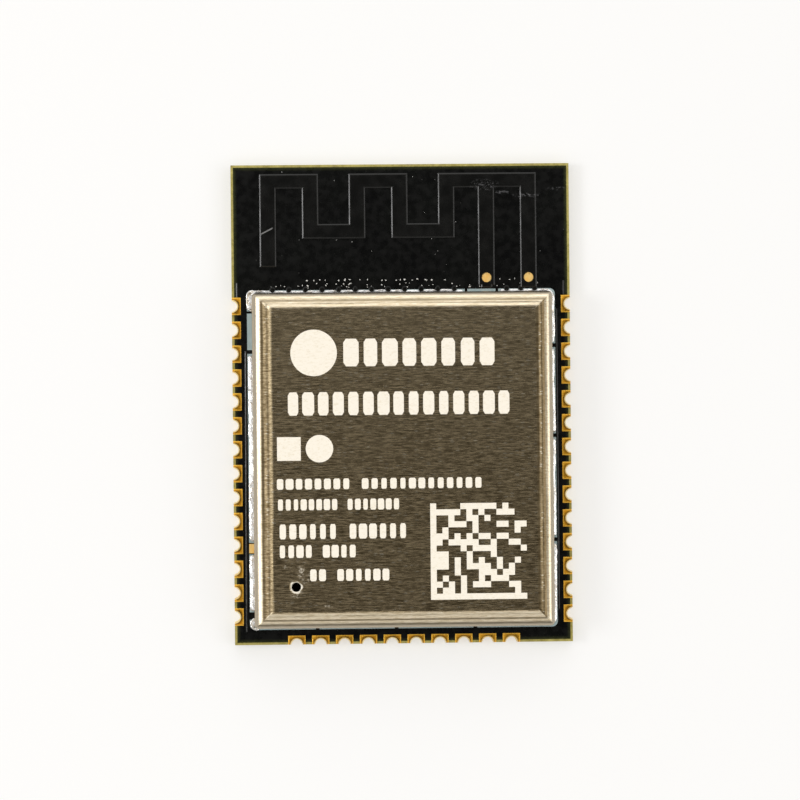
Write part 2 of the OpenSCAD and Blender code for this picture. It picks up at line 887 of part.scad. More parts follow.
// Gull-wing leads: a shoulder out of the body, a sloping shin and a foot on the land
module memory_leads() {
    shoulder = mem_w / 2 + lead_shoulder;
    ankle = mem_span / 2 - lead_foot;
    color("silver")
        on_board()
            at_memory_leads()
                translate([0, lead_w / 2, 0])
                    rotate([90, 0, 0])
                        linear_extrude(lead_w)
                            polygon([
                                [mem_w / 2, mem_lead_z - lead_t / 2],
                                [shoulder, mem_lead_z - lead_t / 2],
                                [ankle, 0],
                                [mem_span / 2, 0],
                                [mem_span / 2, lead_t],
                                [ankle + lead_t, lead_t],
                                [shoulder + lead_t, mem_lead_z + lead_t / 2],
                                [mem_w / 2, mem_lead_z + lead_t / 2]
                            ]);
}

// Ceramic base of the crystal, with a round notch at each corner
module crystal_base() {
    color("gainsboro")
        translate([crystal_x, crystal_y, board_t])
            linear_extrude(crystal_base_h)
                difference() {
                    square([crystal_l, crystal_w], center = true);
                    for (sx = [-1, 1], sy = [-1, 1])
                        translate([sx * crystal_l / 2, sy * crystal_w / 2])
                            circle(crystal_notch_r);
                }
}

// Metal lid, welded on the crystal's base
module crystal_lid() {
    color("lightgrey")
        translate([crystal_x, crystal_y, board_t + crystal_base_h])
            linear_extrude(crystal_lid_h)
                round_rect(crystal_l - 2 * crystal_rim, crystal_w - 2 * crystal_rim, crystal_lid_r);
}

board_core();
top_solder_mask();
bottom_solder_mask();
antenna_track();
test_points();
left_castellations();
right_castellations();
end_castellations();
ground_squares();
shield_land();
component_lands();
shield_can();
shield_solder();
processor_body();
processor_contacts();
memory_body();
memory_leads();
crystal_base();
crystal_lid();
capacitor_bodies();
capacitor_ends();
resistor_bodies();
resistor_ends();
inductor_bodies();
inductor_ends();
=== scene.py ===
import math

import bmesh
import bpy
from mathutils import Euler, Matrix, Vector, noise


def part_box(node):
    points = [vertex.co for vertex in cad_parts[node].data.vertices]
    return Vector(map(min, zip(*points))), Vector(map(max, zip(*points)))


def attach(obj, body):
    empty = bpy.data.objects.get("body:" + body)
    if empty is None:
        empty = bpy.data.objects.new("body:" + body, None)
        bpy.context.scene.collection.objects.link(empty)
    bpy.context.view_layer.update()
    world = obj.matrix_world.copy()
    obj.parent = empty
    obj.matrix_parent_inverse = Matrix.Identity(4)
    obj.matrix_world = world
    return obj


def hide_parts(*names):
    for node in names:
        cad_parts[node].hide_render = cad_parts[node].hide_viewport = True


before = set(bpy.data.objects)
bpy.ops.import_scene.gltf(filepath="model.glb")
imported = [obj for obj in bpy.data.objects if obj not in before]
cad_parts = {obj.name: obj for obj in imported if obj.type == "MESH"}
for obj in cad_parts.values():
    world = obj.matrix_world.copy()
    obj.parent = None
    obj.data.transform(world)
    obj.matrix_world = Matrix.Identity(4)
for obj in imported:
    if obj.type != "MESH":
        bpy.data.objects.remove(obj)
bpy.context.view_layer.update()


# --- Camera, floor and light ------------------------------------------------------------
# The module lies flat on a pale sweep of paper and is seen from almost straight above. A wide
# soft tent lights it from all round, and is dim near its crown, right over the can.

MM = 0.001

camera_data = bpy.data.cameras.new("camera")
camera_data.lens = 129.1
camera_data.sensor_width = 36
camera_data.clip_start = 5 * MM
camera = bpy.data.objects.new("camera", camera_data)
camera.location = Vector((-4.69, 0.62, 153.41)) * MM
camera.rotation_euler = Euler([math.radians(a) for a in (-0.14, -1.722, -0.551)])
bpy.context.scene.collection.objects.link(camera)
bpy.context.scene.camera = camera
bpy.context.scene.view_settings.view_transform = "Standard"


def add_node(tree, kind, inputs=None, **settings):
    """A shader node with its settings made; a socket given as an input is linked to it."""
    made = tree.nodes.new(kind)
    for name, value in settings.items():
        setattr(made, name, value)
    for key, value in (inputs or {}).items():
        if isinstance(value, bpy.types.NodeSocket):
            tree.links.new(value, made.inputs[key])
        else:
            made.inputs[key].default_value = value
    return made


def math_node(tree, operation, *values, clamp=False):
    made = add_node(tree, "ShaderNodeMath", dict(enumerate(values)), operation=operation, use_clamp=clamp)
    return made.outputs[0]


def remap(tree, value, low, high, to_low=0.0, to_high=1.0, kind="SMOOTHSTEP"):
    inputs = {"Value": value, "From Min": low, "From Max": high, "To Min": to_low, "To Max": to_high}
    return add_node(tree, "ShaderNodeMapRange", inputs, interpolation_type=kind).outputs["Result"]


def rgba(colour):
    return (*colour, 1.0)


def mix_colour(tree, factor, first, second, blend="MIX"):
    """The first colour where the factor is 0 and the second where it is 1."""
    inputs = {0: factor, 6: first, 7: second}
    for key in (6, 7):
        if isinstance(inputs[key], tuple):
            inputs[key] = rgba(inputs[key])
    return add_node(tree, "ShaderNodeMix", inputs, data_type="RGBA", blend_type=blend).outputs[2]


world = bpy.data.worlds.new("tent")
world.use_nodes = True
bpy.context.scene.world = world
tree = world.node_tree
tree.nodes.clear()
TENT_AXIS = Vector((0.075, -0.06, 1.0)).normalized()
direction = add_node(tree, "ShaderNodeTexCoord").outputs["Generated"]
towards_axis = add_node(
    tree, "ShaderNodeVectorMath", {0: direction, 1: TENT_AXIS}, operation="DOT_PRODUCT"
).outputs["Value"]
ramp = add_node(tree, "ShaderNodeValToRGB", {"Fac": towards_axis})
ramp.color_ramp.interpolation = "EASE"
# How nearly a way points at the tent's crown, and the light that comes from there
STOPS = [
    (0.0, (0.45, 0.45, 0.46)), (0.3, (0.62, 0.62, 0.61)), (0.55, (1.10, 1.09, 1.07)),
    (0.86, (1.38, 1.33, 1.24)), (0.94, (0.20, 0.185, 0.16)), (1.0, (0.075, 0.070, 0.062))]
while len(ramp.color_ramp.elements) < len(STOPS):
    ramp.color_ramp.elements.new(0.5)
for element, (place, colour) in zip(ramp.color_ramp.elements, STOPS):
    element.position = place
    element.color = rgba(colour)
seen = add_node(tree, "ShaderNodeLightPath").outputs["Is Camera Ray"]
# A dark card stands beyond the near end, and a bright one beyond the antenna
far_way = add_node(tree, "ShaderNodeSeparateXYZ", {0: direction}).outputs["Y"]
near_card = remap(tree, far_way, -0.75, -0.5, 0.35, 0.95)
cards = math_node(tree, "MULTIPLY", near_card, remap(tree, far_way, 0.62, 0.87, 1.0, 2.0))
tent_light = add_node(tree, "ShaderNodeBackground", {"Color": ramp.outputs["Color"], "Strength": cards})
white = add_node(tree, "ShaderNodeBackground", {"Color": rgba((0.985, 0.985, 0.985)), "Strength": 1.0})
both = add_node(tree, "ShaderNodeMixShader", {0: seen, 1: tent_light.outputs[0], 2: white.outputs[0]})
add_node(tree, "ShaderNodeOutputWorld", {"Surface": both.outputs[0]})


def soft_lamp(name, place, size, power, colour=(1.0, 1.0, 1.0)):
    """A square soft box at that place in millimetres, turned to face the module."""
    data = bpy.data.lights.new(name, "AREA")
    data.shape = "SQUARE"
    data.size = size * MM
    data.energy = power
    data.color = colour
    lamp = bpy.data.objects.new(name, data)
    lamp.location = Vector(place) * MM
    lamp.rotation_euler = (-lamp.location).to_track_quat("-Z", "Y").to_euler()
    bpy.context.scene.collection.objects.link(lamp)


soft_lamp("left_box", (-210, 20, 190), 72, 0.17)
soft_lamp("right_box", (220, -30, 170), 90, 0.05)

floor_mesh = bpy.data.meshes.new("floor")
FLOOR_HALF = 0.6
floor_mesh.from_pydata(
    [(x * FLOOR_HALF, y * FLOOR_HALF, 0.0) for x, y in ((-1, -1), (1, -1), (1, 1), (-1, 1))],
    [], [(0, 1, 2, 3)])
floor = bpy.data.objects.new("floor", floor_mesh)
bpy.context.scene.collection.objects.link(floor)
paper = bpy.data.materials.new("paper_floor")
paper.use_nodes = True
tree = paper.node_tree
tree.nodes.clear()
seen = add_node(tree, "ShaderNodeLightPath").outputs["Is Camera Ray"]
matt = add_node(tree, "ShaderNodeBsdfDiffuse", {"Color": rgba((0.90, 0.90, 0.90))})
glow = add_node(tree, "ShaderNodeEmission", {"Color": rgba((1.0, 0.998, 0.995)), "Strength": 1.07})
share = math_node(tree, "MULTIPLY", seen, 0.45)
both = add_node(tree, "ShaderNodeMixShader", {0: share, 1: matt.outputs[0], 2: glow.outputs[0]})
add_node(tree, "ShaderNodeOutputMaterial", {"Surface": both.outputs[0]})
floor_mesh.materials.append(paper)


# --- Board core -------------------------------------------------------------------------
# The board is a sheet of glass cloth in yellow-green epoxy, pressed flat. Its edge is routed,
# so the layers of cloth show as fine bands, and each half-hole is drilled before routing.

board_low, board_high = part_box("board_core")
HALF_W = (board_high.x - board_low.x) / 2 / MM
HALF_L = (board_high.y - board_low.y) / 2 / MM


def new_material(name, roughness=0.5, metallic=0.0, specular=0.5):
    """A material, its node tree, its shader and the object's coordinates in millimetres."""
    made = bpy.data.materials.new(name)
    made.use_nodes = True
    tree = made.node_tree
    shader = tree.nodes["Principled BSDF"]
    shader.inputs["Roughness"].default_value = roughness
    shader.inputs["Metallic"].default_value = metallic
    shader.inputs["Specular IOR Level"].default_value = specular
    place = add_node(tree, "ShaderNodeTexCoord").outputs["Object"]
    inputs = {0: place, "Scale": 1 / MM}
    millimetres = add_node(tree, "ShaderNodeVectorMath", inputs, operation="SCALE").outputs[0]
    return made, tree, shader, millimetres


def stretched(tree, place, scale):
    """The coordinates scaled along each axis, so that a pattern draws out along one."""
    inputs = {0: place, 1: scale}
    return add_node(tree, "ShaderNodeVectorMath", inputs, operation="MULTIPLY").outputs[0]


def noise_value(tree, place, scale, detail=3.0, roughness=0.5):
    inputs = {"Vector": place, "Scale": scale, "Detail": detail, "Roughness": roughness}
    return add_node(tree, "ShaderNodeTexNoise", inputs).outputs["Fac"]


def link(tree, value, shader, socket):
    tree.links.new(value, shader.inputs[socket])


def bump(tree, shader, height, distance, strength=1.0, normal=None):
    """Raises the surface by the height, whose full range stands for that many millimetres."""
    inputs = {"Height": height, "Distance": distance * MM, "Strength": strength}
    if normal is not None:
        inputs["Normal"] = normal
    made = add_node(tree, "ShaderNodeBump", inputs).outputs["Normal"]
    link(tree, made, shader, "Normal")
    return made


def axis_values(tree, place):
    return add_node(tree, "ShaderNodeSeparateXYZ", {0: place}).outputs


laminate, tree, shader, place = new_material("glass_epoxy", roughness=0.62)
height_in_board = axis_values(tree, place)["Z"]
LAYERS_PER_MM = 8.0
wobble = noise_value(tree, place, 3.0)
layer = math_node(tree, "MULTIPLY_ADD", wobble, 0.12, height_in_board)
bands = math_node(tree, "SINE", math_node(tree, "MULTIPLY", layer, LAYERS_PER_MM * 2 * math.pi))
fibres = noise_value(tree, stretched(tree, place, (9.0, 9.0, 60.0)), 1.0, detail=4)
epoxy = mix_colour(tree, remap(tree, bands, -1.0, 1.0), (0.30, 0.25, 0.050), (0.52, 0.45, 0.135))
epoxy = mix_colour(tree, remap(tree, fibres, 0.35, 0.7), epoxy, (0.43, 0.37, 0.10))
char = noise_value(tree, place, 1.3, detail=5)
epoxy = mix_colour(tree, remap(tree, char, 0.58, 0.75, 0.0, 0.5), epoxy, (0.20, 0.15, 0.06))
link(tree, epoxy, shader, "Base Color")
bump(tree, shader, fibres, 0.02, 0.5)


def finish_node(name, material):
    """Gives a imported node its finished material."""
    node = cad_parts[name]
    if node.material_slots:
        node.material_slots[0].material = material
    else:
        node.data.materials.append(material)


finish_node("board_core", laminate)


# --- Effects that several finishes share --------------------------------------------------
# Fine dust and flux specks settle on everything on the bench, and the same specks make the can's
# nicks, painted pale as glints. A drawn or rolled sheet keeps the long fine grain of its mill. Both
# are groups, placed in each finish with its own values.


def new_group(name, inputs, outputs):
    """A shader group with those inputs, each with its plain value, and float outputs."""
    group = bpy.data.node_groups.new(name, "ShaderNodeTree")
    for label, value in inputs.items():
        kind = "NodeSocketVector" if value is None else "NodeSocketFloat"
        socket = group.interface.new_socket(label, in_out="INPUT", socket_type=kind)
        if value is not None:
            socket.default_value = value
    for label in outputs:
        group.interface.new_socket(label, in_out="OUTPUT", socket_type="NodeSocketFloat")
    entry = group.nodes.new("NodeGroupInput").outputs
    return group, entry


def close_group(group, **values):
    add_node(group, "NodeGroupOutput", values)


specks_group, entry = new_group(
    "specks", {"Place": None, "Per mm": 4.0, "Size": 0.12, "Share": 0.5}, ["Mask"])
cells = add_node(specks_group, "ShaderNodeTexVoronoi", {"Vector": entry["Place"], "Scale": entry["Per mm"]})
lucky = axis_values(specks_group, cells.outputs["Color"])[0]
is_speck = math_node(specks_group, "LESS_THAN", lucky, entry["Share"])
ragged = noise_value(specks_group, entry["Place"], 22.0)
reach = math_node(specks_group, "MULTIPLY", entry["Size"], math_node(specks_group, "ADD", ragged, 0.5))
inside = math_node(specks_group, "LESS_THAN", cells.outputs["Distance"], reach)
close_group(specks_group, Mask=math_node(specks_group, "MULTIPLY", is_speck, inside))

smear_group, entry = new_group(
    "smear", {"Place": None, "X": 0.0, "Y": 0.0, "Length": 1.0, "Depth": 0.2}, ["Mask"])
smear_axes = axis_values(smear_group, entry["Place"])
wander = noise_value(smear_group, entry["Place"], 1.1)
off_x = math_node(smear_group, "DIVIDE", math_node(
    smear_group, "SUBTRACT", smear_axes["X"], entry["X"]), entry["Length"])
off_y = math_node(smear_group, "DIVIDE", math_node(smear_group, "SUBTRACT", math_node(
    smear_group, "MULTIPLY_ADD", wander, 0.5, smear_axes["Y"]), entry["Y"]), entry["Depth"])
far = math_node(smear_group, "ADD", math_node(smear_group, "POWER", off_x, 2.0),
                math_node(smear_group, "POWER", off_y, 2.0))
broken = remap(smear_group, noise_value(smear_group, entry["Place"], 7.0, detail=4, roughness=0.7), 0.5, 0.62)
close_group(smear_group, Mask=math_node(
    smear_group, "MULTIPLY", remap(smear_group, far, 0.0, 1.0, 1.0, 0.0), broken))

grain_group, entry = new_group("mill_grain", {"Place": None, "Fine": 1.0}, ["Streak", "Height"])
drawn = stretched(grain_group, entry["Place"], (0.6, 11.0, 11.0))
finer = stretched(grain_group, entry["Place"], (1.9, 19.0, 19.0))
coarse_grain = noise_value(grain_group, drawn, 1.0, detail=4, roughness=0.75)
fine_grain = noise_value(grain_group, finer, entry["Fine"], detail=3, roughness=0.7)
streak = math_node(grain_group, "MULTIPLY_ADD", coarse_grain, 0.3,
                   math_node(grain_group, "MULTIPLY", fine_grain, 0.7))
close_group(grain_group, Streak=streak, Height=fine_grain)


def place_group(tree, group, **inputs):
    """The outputs of a group placed in a finish; Per_mm stands for its input Per mm."""
    named = {label.replace("_", " "): value for label, value in inputs.items()}
    return add_node(tree, "ShaderNodeGroup", named, node_tree=group).outputs


def tinted(tree, colour, mask, strength, tint):
    """The colour, drawn that share of the way to the tint where the mask is 1."""
    return mix_colour(tree, math_node(tree, "MULTIPLY", mask, strength), colour, tint)


# --- Copper and gold --------------------------------------------------------------------
# The copper of both faces is etched, then plated with nickel and a thin skin of gold wherever
# the mask leaves it bare. The antenna's track stays plain copper under the mask.

copper, tree, shader, place = new_material("bare_copper", roughness=0.35, metallic=1.0)
grain = place_group(tree, grain_group, Place=place)
tarnish = noise_value(tree, place, 1.2, detail=5)
colour = mix_colour(tree, remap(tree, tarnish, 0.4, 0.7), (0.72, 0.40, 0.24), (0.50, 0.24, 0.13))
link(tree, tinted(tree, colour, grain["Streak"], 0.3, (0.86, 0.55, 0.36)), shader, "Base Color")
bump(tree, shader, grain["Height"], 0.004)
finish_node("antenna_track", copper)

gold, tree, shader, place = new_material("gold_plating", roughness=0.5, metallic=0.35)
patches = noise_value(tree, place, 2.6, detail=4)
colour = mix_colour(tree, remap(tree, patches, 0.35, 0.65), (1.0, 0.70, 0.26), (0.96, 0.58, 0.16))
grime = place_group(tree, specks_group, Place=place, Per_mm=6.0, Size=0.2, Share=0.12)["Mask"]
colour = tinted(tree, colour, grime, 0.6, (0.22, 0.10, 0.03))
link(tree, colour, shader, "Base Color")
link(tree, remap(tree, patches, 0.3, 0.7, 0.42, 0.58), shader, "Roughness")
bump(tree, shader, noise_value(tree, place, 14.0, detail=4), 0.006)
for name in ("ground_squares", "component_lands", "test_points"):
    finish_node(name, gold)

tinned, tree, shader, place = new_material("tinned_land", roughness=0.38, metallic=0.25)
ripple = noise_value(tree, place, 3.0, detail=3)
# The tin is painted pale blue, a painted reflection of blue surroundings in the flat land.
link(tree, mix_colour(tree, ripple, (0.30, 0.42, 0.46), (0.52, 0.62, 0.63)), shader, "Base Color")
bump(tree, shader, ripple, 0.02)
finish_node("shield_land", tinned)


# --- Castellated pads ---------------------------------------------------------------------
# Each pad is a land on both faces, joined by the plated wall of a hole that the routing has cut
# in half. Plating builds up at the edges, so a pad is soft-edged, with its rim painted pale as a highlight.

PAD_PITCH = 1.27
PAD_W = 0.93
HOLE_R = 0.3
PLATING = 0.04
TOP_REACH = 0.48
BOTTOM_REACH = 0.85
BOARD_T = 0.8
PAD_SOFT = 0.022
ARC_STEPS = 18


def land_outline(reach):
    """A land in plan, with the board's edge at x = 0 and the half-hole bitten out of it."""
    half = PAD_W / 2
    arc = [math.pi * (0.5 - i / ARC_STEPS) for i in range(ARC_STEPS + 1)]
    bite = [(HOLE_R * math.cos(a), HOLE_R * math.sin(a)) for a in arc]
    return [(0, -half), (reach, -half), (reach, half), (0, half)] + bite


def add_prism(bm, outline, low, high, soft=0.0, soft_face="top"):
    """A solid between two heights, in millimetres, with one face's edges rounded over."""
    rings = [[bm.verts.new(Vector((x, y, z)) * MM) for x, y in outline] for z in (low, high)]
    count = len(outline)
    for i in range(count):
        j = (i + 1) % count
        bm.faces.new((rings[0][i], rings[0][j], rings[1][j], rings[1][i]))
    lids = [bm.faces.new(list(reversed(rings[0]))), bm.faces.new(rings[1])]
    if soft:
        edges = list(lids[1 if soft_face == "top" else 0].edges)
        bmesh.ops.bevel(bm, geom=edges, offset=soft * MM, offset_type="OFFSET", segments=2,
                        profile=0.5, affect="EDGES", clamp_overlap=True)


def half_tube(bm, inner, outer, low, high):
    """The plated wall of a half-hole."""
    angles = [math.pi * (i / ARC_STEPS - 0.5) for i in range(ARC_STEPS + 1)]
    outline = [(outer * math.cos(a), outer * math.sin(a)) for a in angles]
    outline += [(inner * math.cos(a), inner * math.sin(a)) for a in reversed(angles)]
    add_prism(bm, outline, low, high)


def mesh_from(bm, name, sharp_angle=40):
    """The built mesh, facing outwards and shaded smooth up to that angle."""
    bmesh.ops.recalc_face_normals(bm, faces=bm.faces)
    mesh = bpy.data.meshes.new(name)
    bm.to_mesh(mesh)
    bm.free()
    mesh.shade_smooth()
    mesh.set_sharp_from_angle(angle=math.radians(sharp_angle))
    return mesh


def new_object(name, mesh):
    made = bpy.data.objects.new(name, mesh)
    bpy.context.scene.collection.objects.link(made)
    return made


def seat(piece, slot, *replaced):
    """The finished piece rides on the module, and the parts it replaces are hidden; the slot is not used."""
    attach(piece, "root")
    if replaced:
        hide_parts(*replaced)


def length_of(tree, x, y):
    """How long a step in plan is."""
    squares = [math_node(tree, "POWER", way, 2.0) for way in (x, y)]
    return math_node(tree, "SQRT", math_node(tree, "ADD", *squares))


def new_tree(name, inputs):
    """A geometry tree with those named inputs; returns it, its inputs and its outlet."""
    group = bpy.data.node_groups.new(name, "GeometryNodeTree")
    group.interface.new_socket("Geometry", in_out="INPUT", socket_type="NodeSocketGeometry")
    for label, kind in inputs.items():
        group.interface.new_socket(label, in_out="INPUT", socket_type="NodeSocket" + kind)
    group.interface.new_socket("Geometry", in_out="OUTPUT", socket_type="NodeSocketGeometry")
    return group, group.nodes.new("NodeGroupInput").outputs, group.nodes.new("NodeGroupOutput").inputs


def close_tree(group, instances, finish, outlet):
    """Makes the instances real and hands them out in their finish."""
    real = add_node(group, "GeometryNodeRealizeInstances", {"Geometry": instances})
    finished = add_node(group, "GeometryNodeSetMaterial", {
        "Geometry": real.outputs[0], "Material": finish})
    group.links.new(finished.outputs[0], outlet["Geometry"])


def grow(name, group, values):
    """Runs a geometry tree with those values and keeps what it makes as a plain mesh."""
    made = new_object(name, bpy.data.meshes.new(name))
    modifier = made.modifiers.new(group.name, "NODES")
    modifier.node_group = group
    for item in group.interface.items_tree:
        if item.in_out == "INPUT" and item.name in values:
            modifier[item.identifier] = values[item.name]
    depsgraph = bpy.context.evaluated_depsgraph_get()
    mesh = bpy.data.meshes.new_from_object(made.evaluated_get(depsgraph), depsgraph=depsgraph)
    made.modifiers.clear()
    made.data = mesh
    mesh.name = name
    return made


row_tree, entry, exit_sockets = new_tree("row_of_pieces", {
    "Piece": "Object", "Count": "Int", "Start": "Vector", "Step": "Vector", "Turn": "Vector",
    "Unevenness": "Float", "Seed": "Int", "Finish": "Material"})
line = add_node(row_tree, "GeometryNodeMeshLine", {
    "Count": entry["Count"], "Start Location": entry["Start"], "Offset": entry["Step"]}, mode="OFFSET")
source = add_node(row_tree, "GeometryNodeObjectInfo", {"Object": entry["Piece"]}).outputs["Geometry"]
own_place = add_node(row_tree, "GeometryNodeInputPosition").outputs[0]
marked = add_node(row_tree, "GeometryNodeStoreNamedAttribute", {
    "Geometry": source, "Name": "own_place", "Value": own_place}, data_type="FLOAT_VECTOR")
smallest = math_node(row_tree, "SUBTRACT", 1.0, entry["Unevenness"])
largest = math_node(row_tree, "ADD", 1.0, entry["Unevenness"])
size = add_node(row_tree, "FunctionNodeRandomValue", {
    0: smallest, 1: largest, "Seed": entry["Seed"]}, data_type="FLOAT_VECTOR")
placed = add_node(row_tree, "GeometryNodeInstanceOnPoints", {
    "Points": line.outputs[0], "Instance": marked.outputs[0], "Rotation": entry["Turn"],
    "Scale": size.outputs[0]})
tone = add_node(row_tree, "FunctionNodeRandomValue", {"Seed": entry["Seed"]}, data_type="FLOAT")
toned = add_node(row_tree, "GeometryNodeStoreNamedAttribute", {
    "Geometry": placed.outputs[0], "Name": "tone", "Value": tone.outputs[1]},
    data_type="FLOAT", domain="INSTANCE")
close_tree(row_tree, toned.outputs[0], entry["Finish"], exit_sockets)

bm = bmesh.new()
add_prism(bm, land_outline(TOP_REACH), BOARD_T - PLATING, BOARD_T, PAD_SOFT, "top")
add_prism(bm, land_outline(BOTTOM_REACH), 0.0, PLATING, PAD_SOFT, "bottom")
half_tube(bm, HOLE_R, HOLE_R + PLATING, PLATING / 2, BOARD_T - PLATING / 2)
pad = new_object("pad", mesh_from(bm, "pad"))

pad_gold, tree, shader, place = new_material("pad_gold", roughness=0.34, metallic=0.88)
own = add_node(tree, "ShaderNodeAttribute", attribute_name="own_place").outputs["Vector"]
own = add_node(tree, "ShaderNodeVectorMath", {0: own, "Scale": 1 / MM}, operation="SCALE").outputs[0]
own_axes = axis_values(tree, own)
shade = add_node(tree, "ShaderNodeAttribute", attribute_name="tone").outputs["Fac"]
from_flank = math_node(tree, "SUBTRACT", PAD_W / 2, math_node(tree, "ABSOLUTE", own_axes["Y"]))
from_head = math_node(tree, "SUBTRACT", TOP_REACH, own_axes["X"])
from_rim = math_node(tree, "MINIMUM", from_flank, from_head)
rim_highlight = remap(tree, from_rim, 0.02, 0.10, 1.0, 0.0)
across = length_of(tree, own_axes["X"], own_axes["Y"])
hole_shade = remap(tree, across, HOLE_R + 0.03, HOLE_R + 0.20, 1.0, 0.0)
lip_highlight = remap(tree, across, HOLE_R + 0.065, HOLE_R + 0.025)
drift = noise_value(tree, place, 4.0, detail=4)
colour = mix_colour(tree, remap(tree, drift, 0.35, 0.65), (1.0, 0.52, 0.04), (0.84, 0.37, 0.02))
# Round the hole the pad is painted dark brown as shade, along its rim paler as a highlight, and on the hole's
# lip pale yellow as a highlight.
colour = tinted(tree, colour, hole_shade, 0.92, (0.22, 0.080, 0.006))
colour = tinted(tree, colour, rim_highlight, 0.85, (1.0, 0.58, 0.07))
colour = mix_colour(tree, lip_highlight, colour, (1.0, 0.84, 0.42))
colour = tinted(tree, colour, shade, 0.35, (0.95, 0.52, 0.05))
grime = place_group(tree, specks_group, Place=place, Per_mm=7.0, Size=0.2, Share=0.10)["Mask"]
colour = tinted(tree, colour, grime, 0.7, (0.16, 0.07, 0.015))
link(tree, colour, shader, "Base Color")
# The edges painted as highlights are also less metallic, so they scatter light where the flat of the pad
# mirrors it.
highlit_edges = math_node(tree, "MAXIMUM", lip_highlight, math_node(tree, "MULTIPLY", rim_highlight, 0.65))
link(tree, math_node(tree, "MULTIPLY_ADD", highlit_edges, -0.75, 0.9), shader, "Metallic")
link(tree, remap(tree, drift, 0.3, 0.7, 0.22, 0.42), shader, "Roughness")
bump(tree, shader, noise_value(tree, place, 12.0, detail=3), 0.008)

SIDE_COUNT = 14
END_COUNT = 10
side_high_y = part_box("left_castellations")[1].y / MM - PAD_W / 2
end_low_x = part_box("end_castellations")[0].x / MM + PAD_W / 2
quarter = math.pi / 2
for name, count, start, step, turn in (
        ("left_castellations", SIDE_COUNT, (-HALF_W, side_high_y), (0, -PAD_PITCH), 0.0),
        ("right_castellations", SIDE_COUNT, (HALF_W, side_high_y), (0, -PAD_PITCH), 2 * quarter),
        ("end_castellations", END_COUNT, (end_low_x, -HALF_L), (PAD_PITCH, 0), quarter)):
    row = grow("plated_" + name, row_tree, {
        "Piece": pad, "Count": count, "Start": Vector((*start, 0)) * MM,
        "Step": Vector((*step, 0)) * MM, "Turn": (0.0, 0.0, turn), "Unevenness": 0.0,
        "Seed": len(name), "Finish": pad_gold})
    seat(row, "gold_plating", name)
bpy.data.objects.remove(pad)


# --- Solder mask ------------------------------------------------------------------------
# Both faces are coated with black liquid mask, printed and cured. It is satin, it thins out to a
# dark green over the bare laminate at the board's edge, and it is drawn up over the antenna.

mask, tree, shader, place = new_material("black_mask", roughness=0.26, specular=0.28)
axes = axis_values(tree, place)
from_side = math_node(tree, "SUBTRACT", HALF_W, math_node(tree, "ABSOLUTE", axes["X"]))
from_end = math_node(tree, "SUBTRACT", HALF_L, math_node(tree, "ABSOLUTE", axes["Y"]))
from_edge = math_node(tree, "MINIMUM", from_side, from_end)
edge_wander = math_node(tree, "MULTIPLY_ADD", noise_value(tree, place, 5.0), 0.1, from_edge)
thin = remap(tree, edge_wander, 0.14, 0.40, 1.0, 0.0)
cloudy = noise_value(tree, place, 0.5, detail=3)
black = mix_colour(tree, remap(tree, cloudy, 0.4, 0.65), (0.0008, 0.0010, 0.0012), (0.0022, 0.0026, 0.0025))
colour = mix_colour(tree, thin, black, (0.030, 0.034, 0.012))
dust = place_group(tree, specks_group, Place=place, Per_mm=2.2, Size=0.06, Share=0.16)["Mask"]
colour = tinted(tree, colour, dust, 0.35, (0.12, 0.12, 0.11))


def smeared(tree, place, colour):
    """Adds the pale smears that handling has left near the far right corner of the upper face."""
    on_top = math_node(tree, "GREATER_THAN", axis_values(tree, place)["Z"], 0.4)
    for x, y, length, depth, strength in ((4.5, 11.85, 0.9, 0.40, 0.08), (6.8, 11.32, 1.0, 0.13, 0.11),
                                          (8.3, 11.62, 0.6, 0.14, 0.10), (5.5, 11.42, 0.8, 0.10, 0.08)):
        mark = place_group(tree, smear_group, Place=place, X=x, Y=y, Length=length, Depth=depth)["Mask"]
        mark = math_node(tree, "MULTIPLY", mark, on_top)
        colour = tinted(tree, colour, mark, strength, (0.95, 0.95, 1.0))
    return colour


colour = smeared(tree, place, colour)
link(tree, colour, shader, "Base Color")
peel = noise_value(tree, place, 2.4, detail=2)
link(tree, remap(tree, peel, 0.3, 0.7, 0.22, 0.34), shader, "Roughness")
bump(tree, shader, peel, 0.004)
finish_node("top_solder_mask", mask)
finish_node("bottom_solder_mask", mask)

# The mask lies over the folded track in a low swell with soft shoulders, open at two test points.
mask_on_copper, tree, shader, place = new_material("mask_on_copper", roughness=0.24, specular=0.34)
cloudy = noise_value(tree, place, 1.4, detail=4)
colour = mix_colour(tree, cloudy, (0.0024, 0.0026, 0.0026), (0.0060, 0.0062, 0.0060))
# One fine scratch crosses the open leg
SCRATCH = ((-7.45, 9.06), (-6.75, 9.42))
run = Vector(SCRATCH[1]) - Vector(SCRATCH[0])
normal = Vector((-run.y, run.x)).normalized()
axes = axis_values(tree, place)
off_line = math_node(tree, "MULTIPLY_ADD", axes["X"], normal.x, math_node(
    tree, "MULTIPLY_ADD", axes["Y"], normal.y, -normal.dot(Vector(SCRATCH[0]))))
scratch_mid_x = (SCRATCH[0][0] + SCRATCH[1][0]) / 2
along = math_node(tree, "ABSOLUTE", math_node(tree, "SUBTRACT", axes["X"], scratch_mid_x))
scratch = math_node(tree, "MULTIPLY", remap(tree, math_node(tree, "ABSOLUTE", off_line), 0.05, 0.015),
                    remap(tree, along, abs(run.x) / 2, abs(run.x) / 2 - 0.1))
colour = tinted(tree, colour, scratch, 0.22, (0.9, 0.9, 0.9))
link(tree, smeared(tree, place, colour), shader, "Base Color")
link(tree, remap(tree, cloudy, 0.3, 0.7, 0.17, 0.28), shader, "Roughness")
bump(tree, shader, noise_value(tree, place, 5.0), 0.006)
TRACK_TOP = 0.860
MASK_TOP = 0.785
LEG_HALF = 0.425
LEG_STEPS = (2.26, 2.49, 2.26, 2.49, 2.12, 2.24)
BAR_W = 0.76
FOLD_DEPTH = 3.43
OPEN_LEG_L = 4.92
NECK_HALF = 0.29
NECK_GAP = 0.16
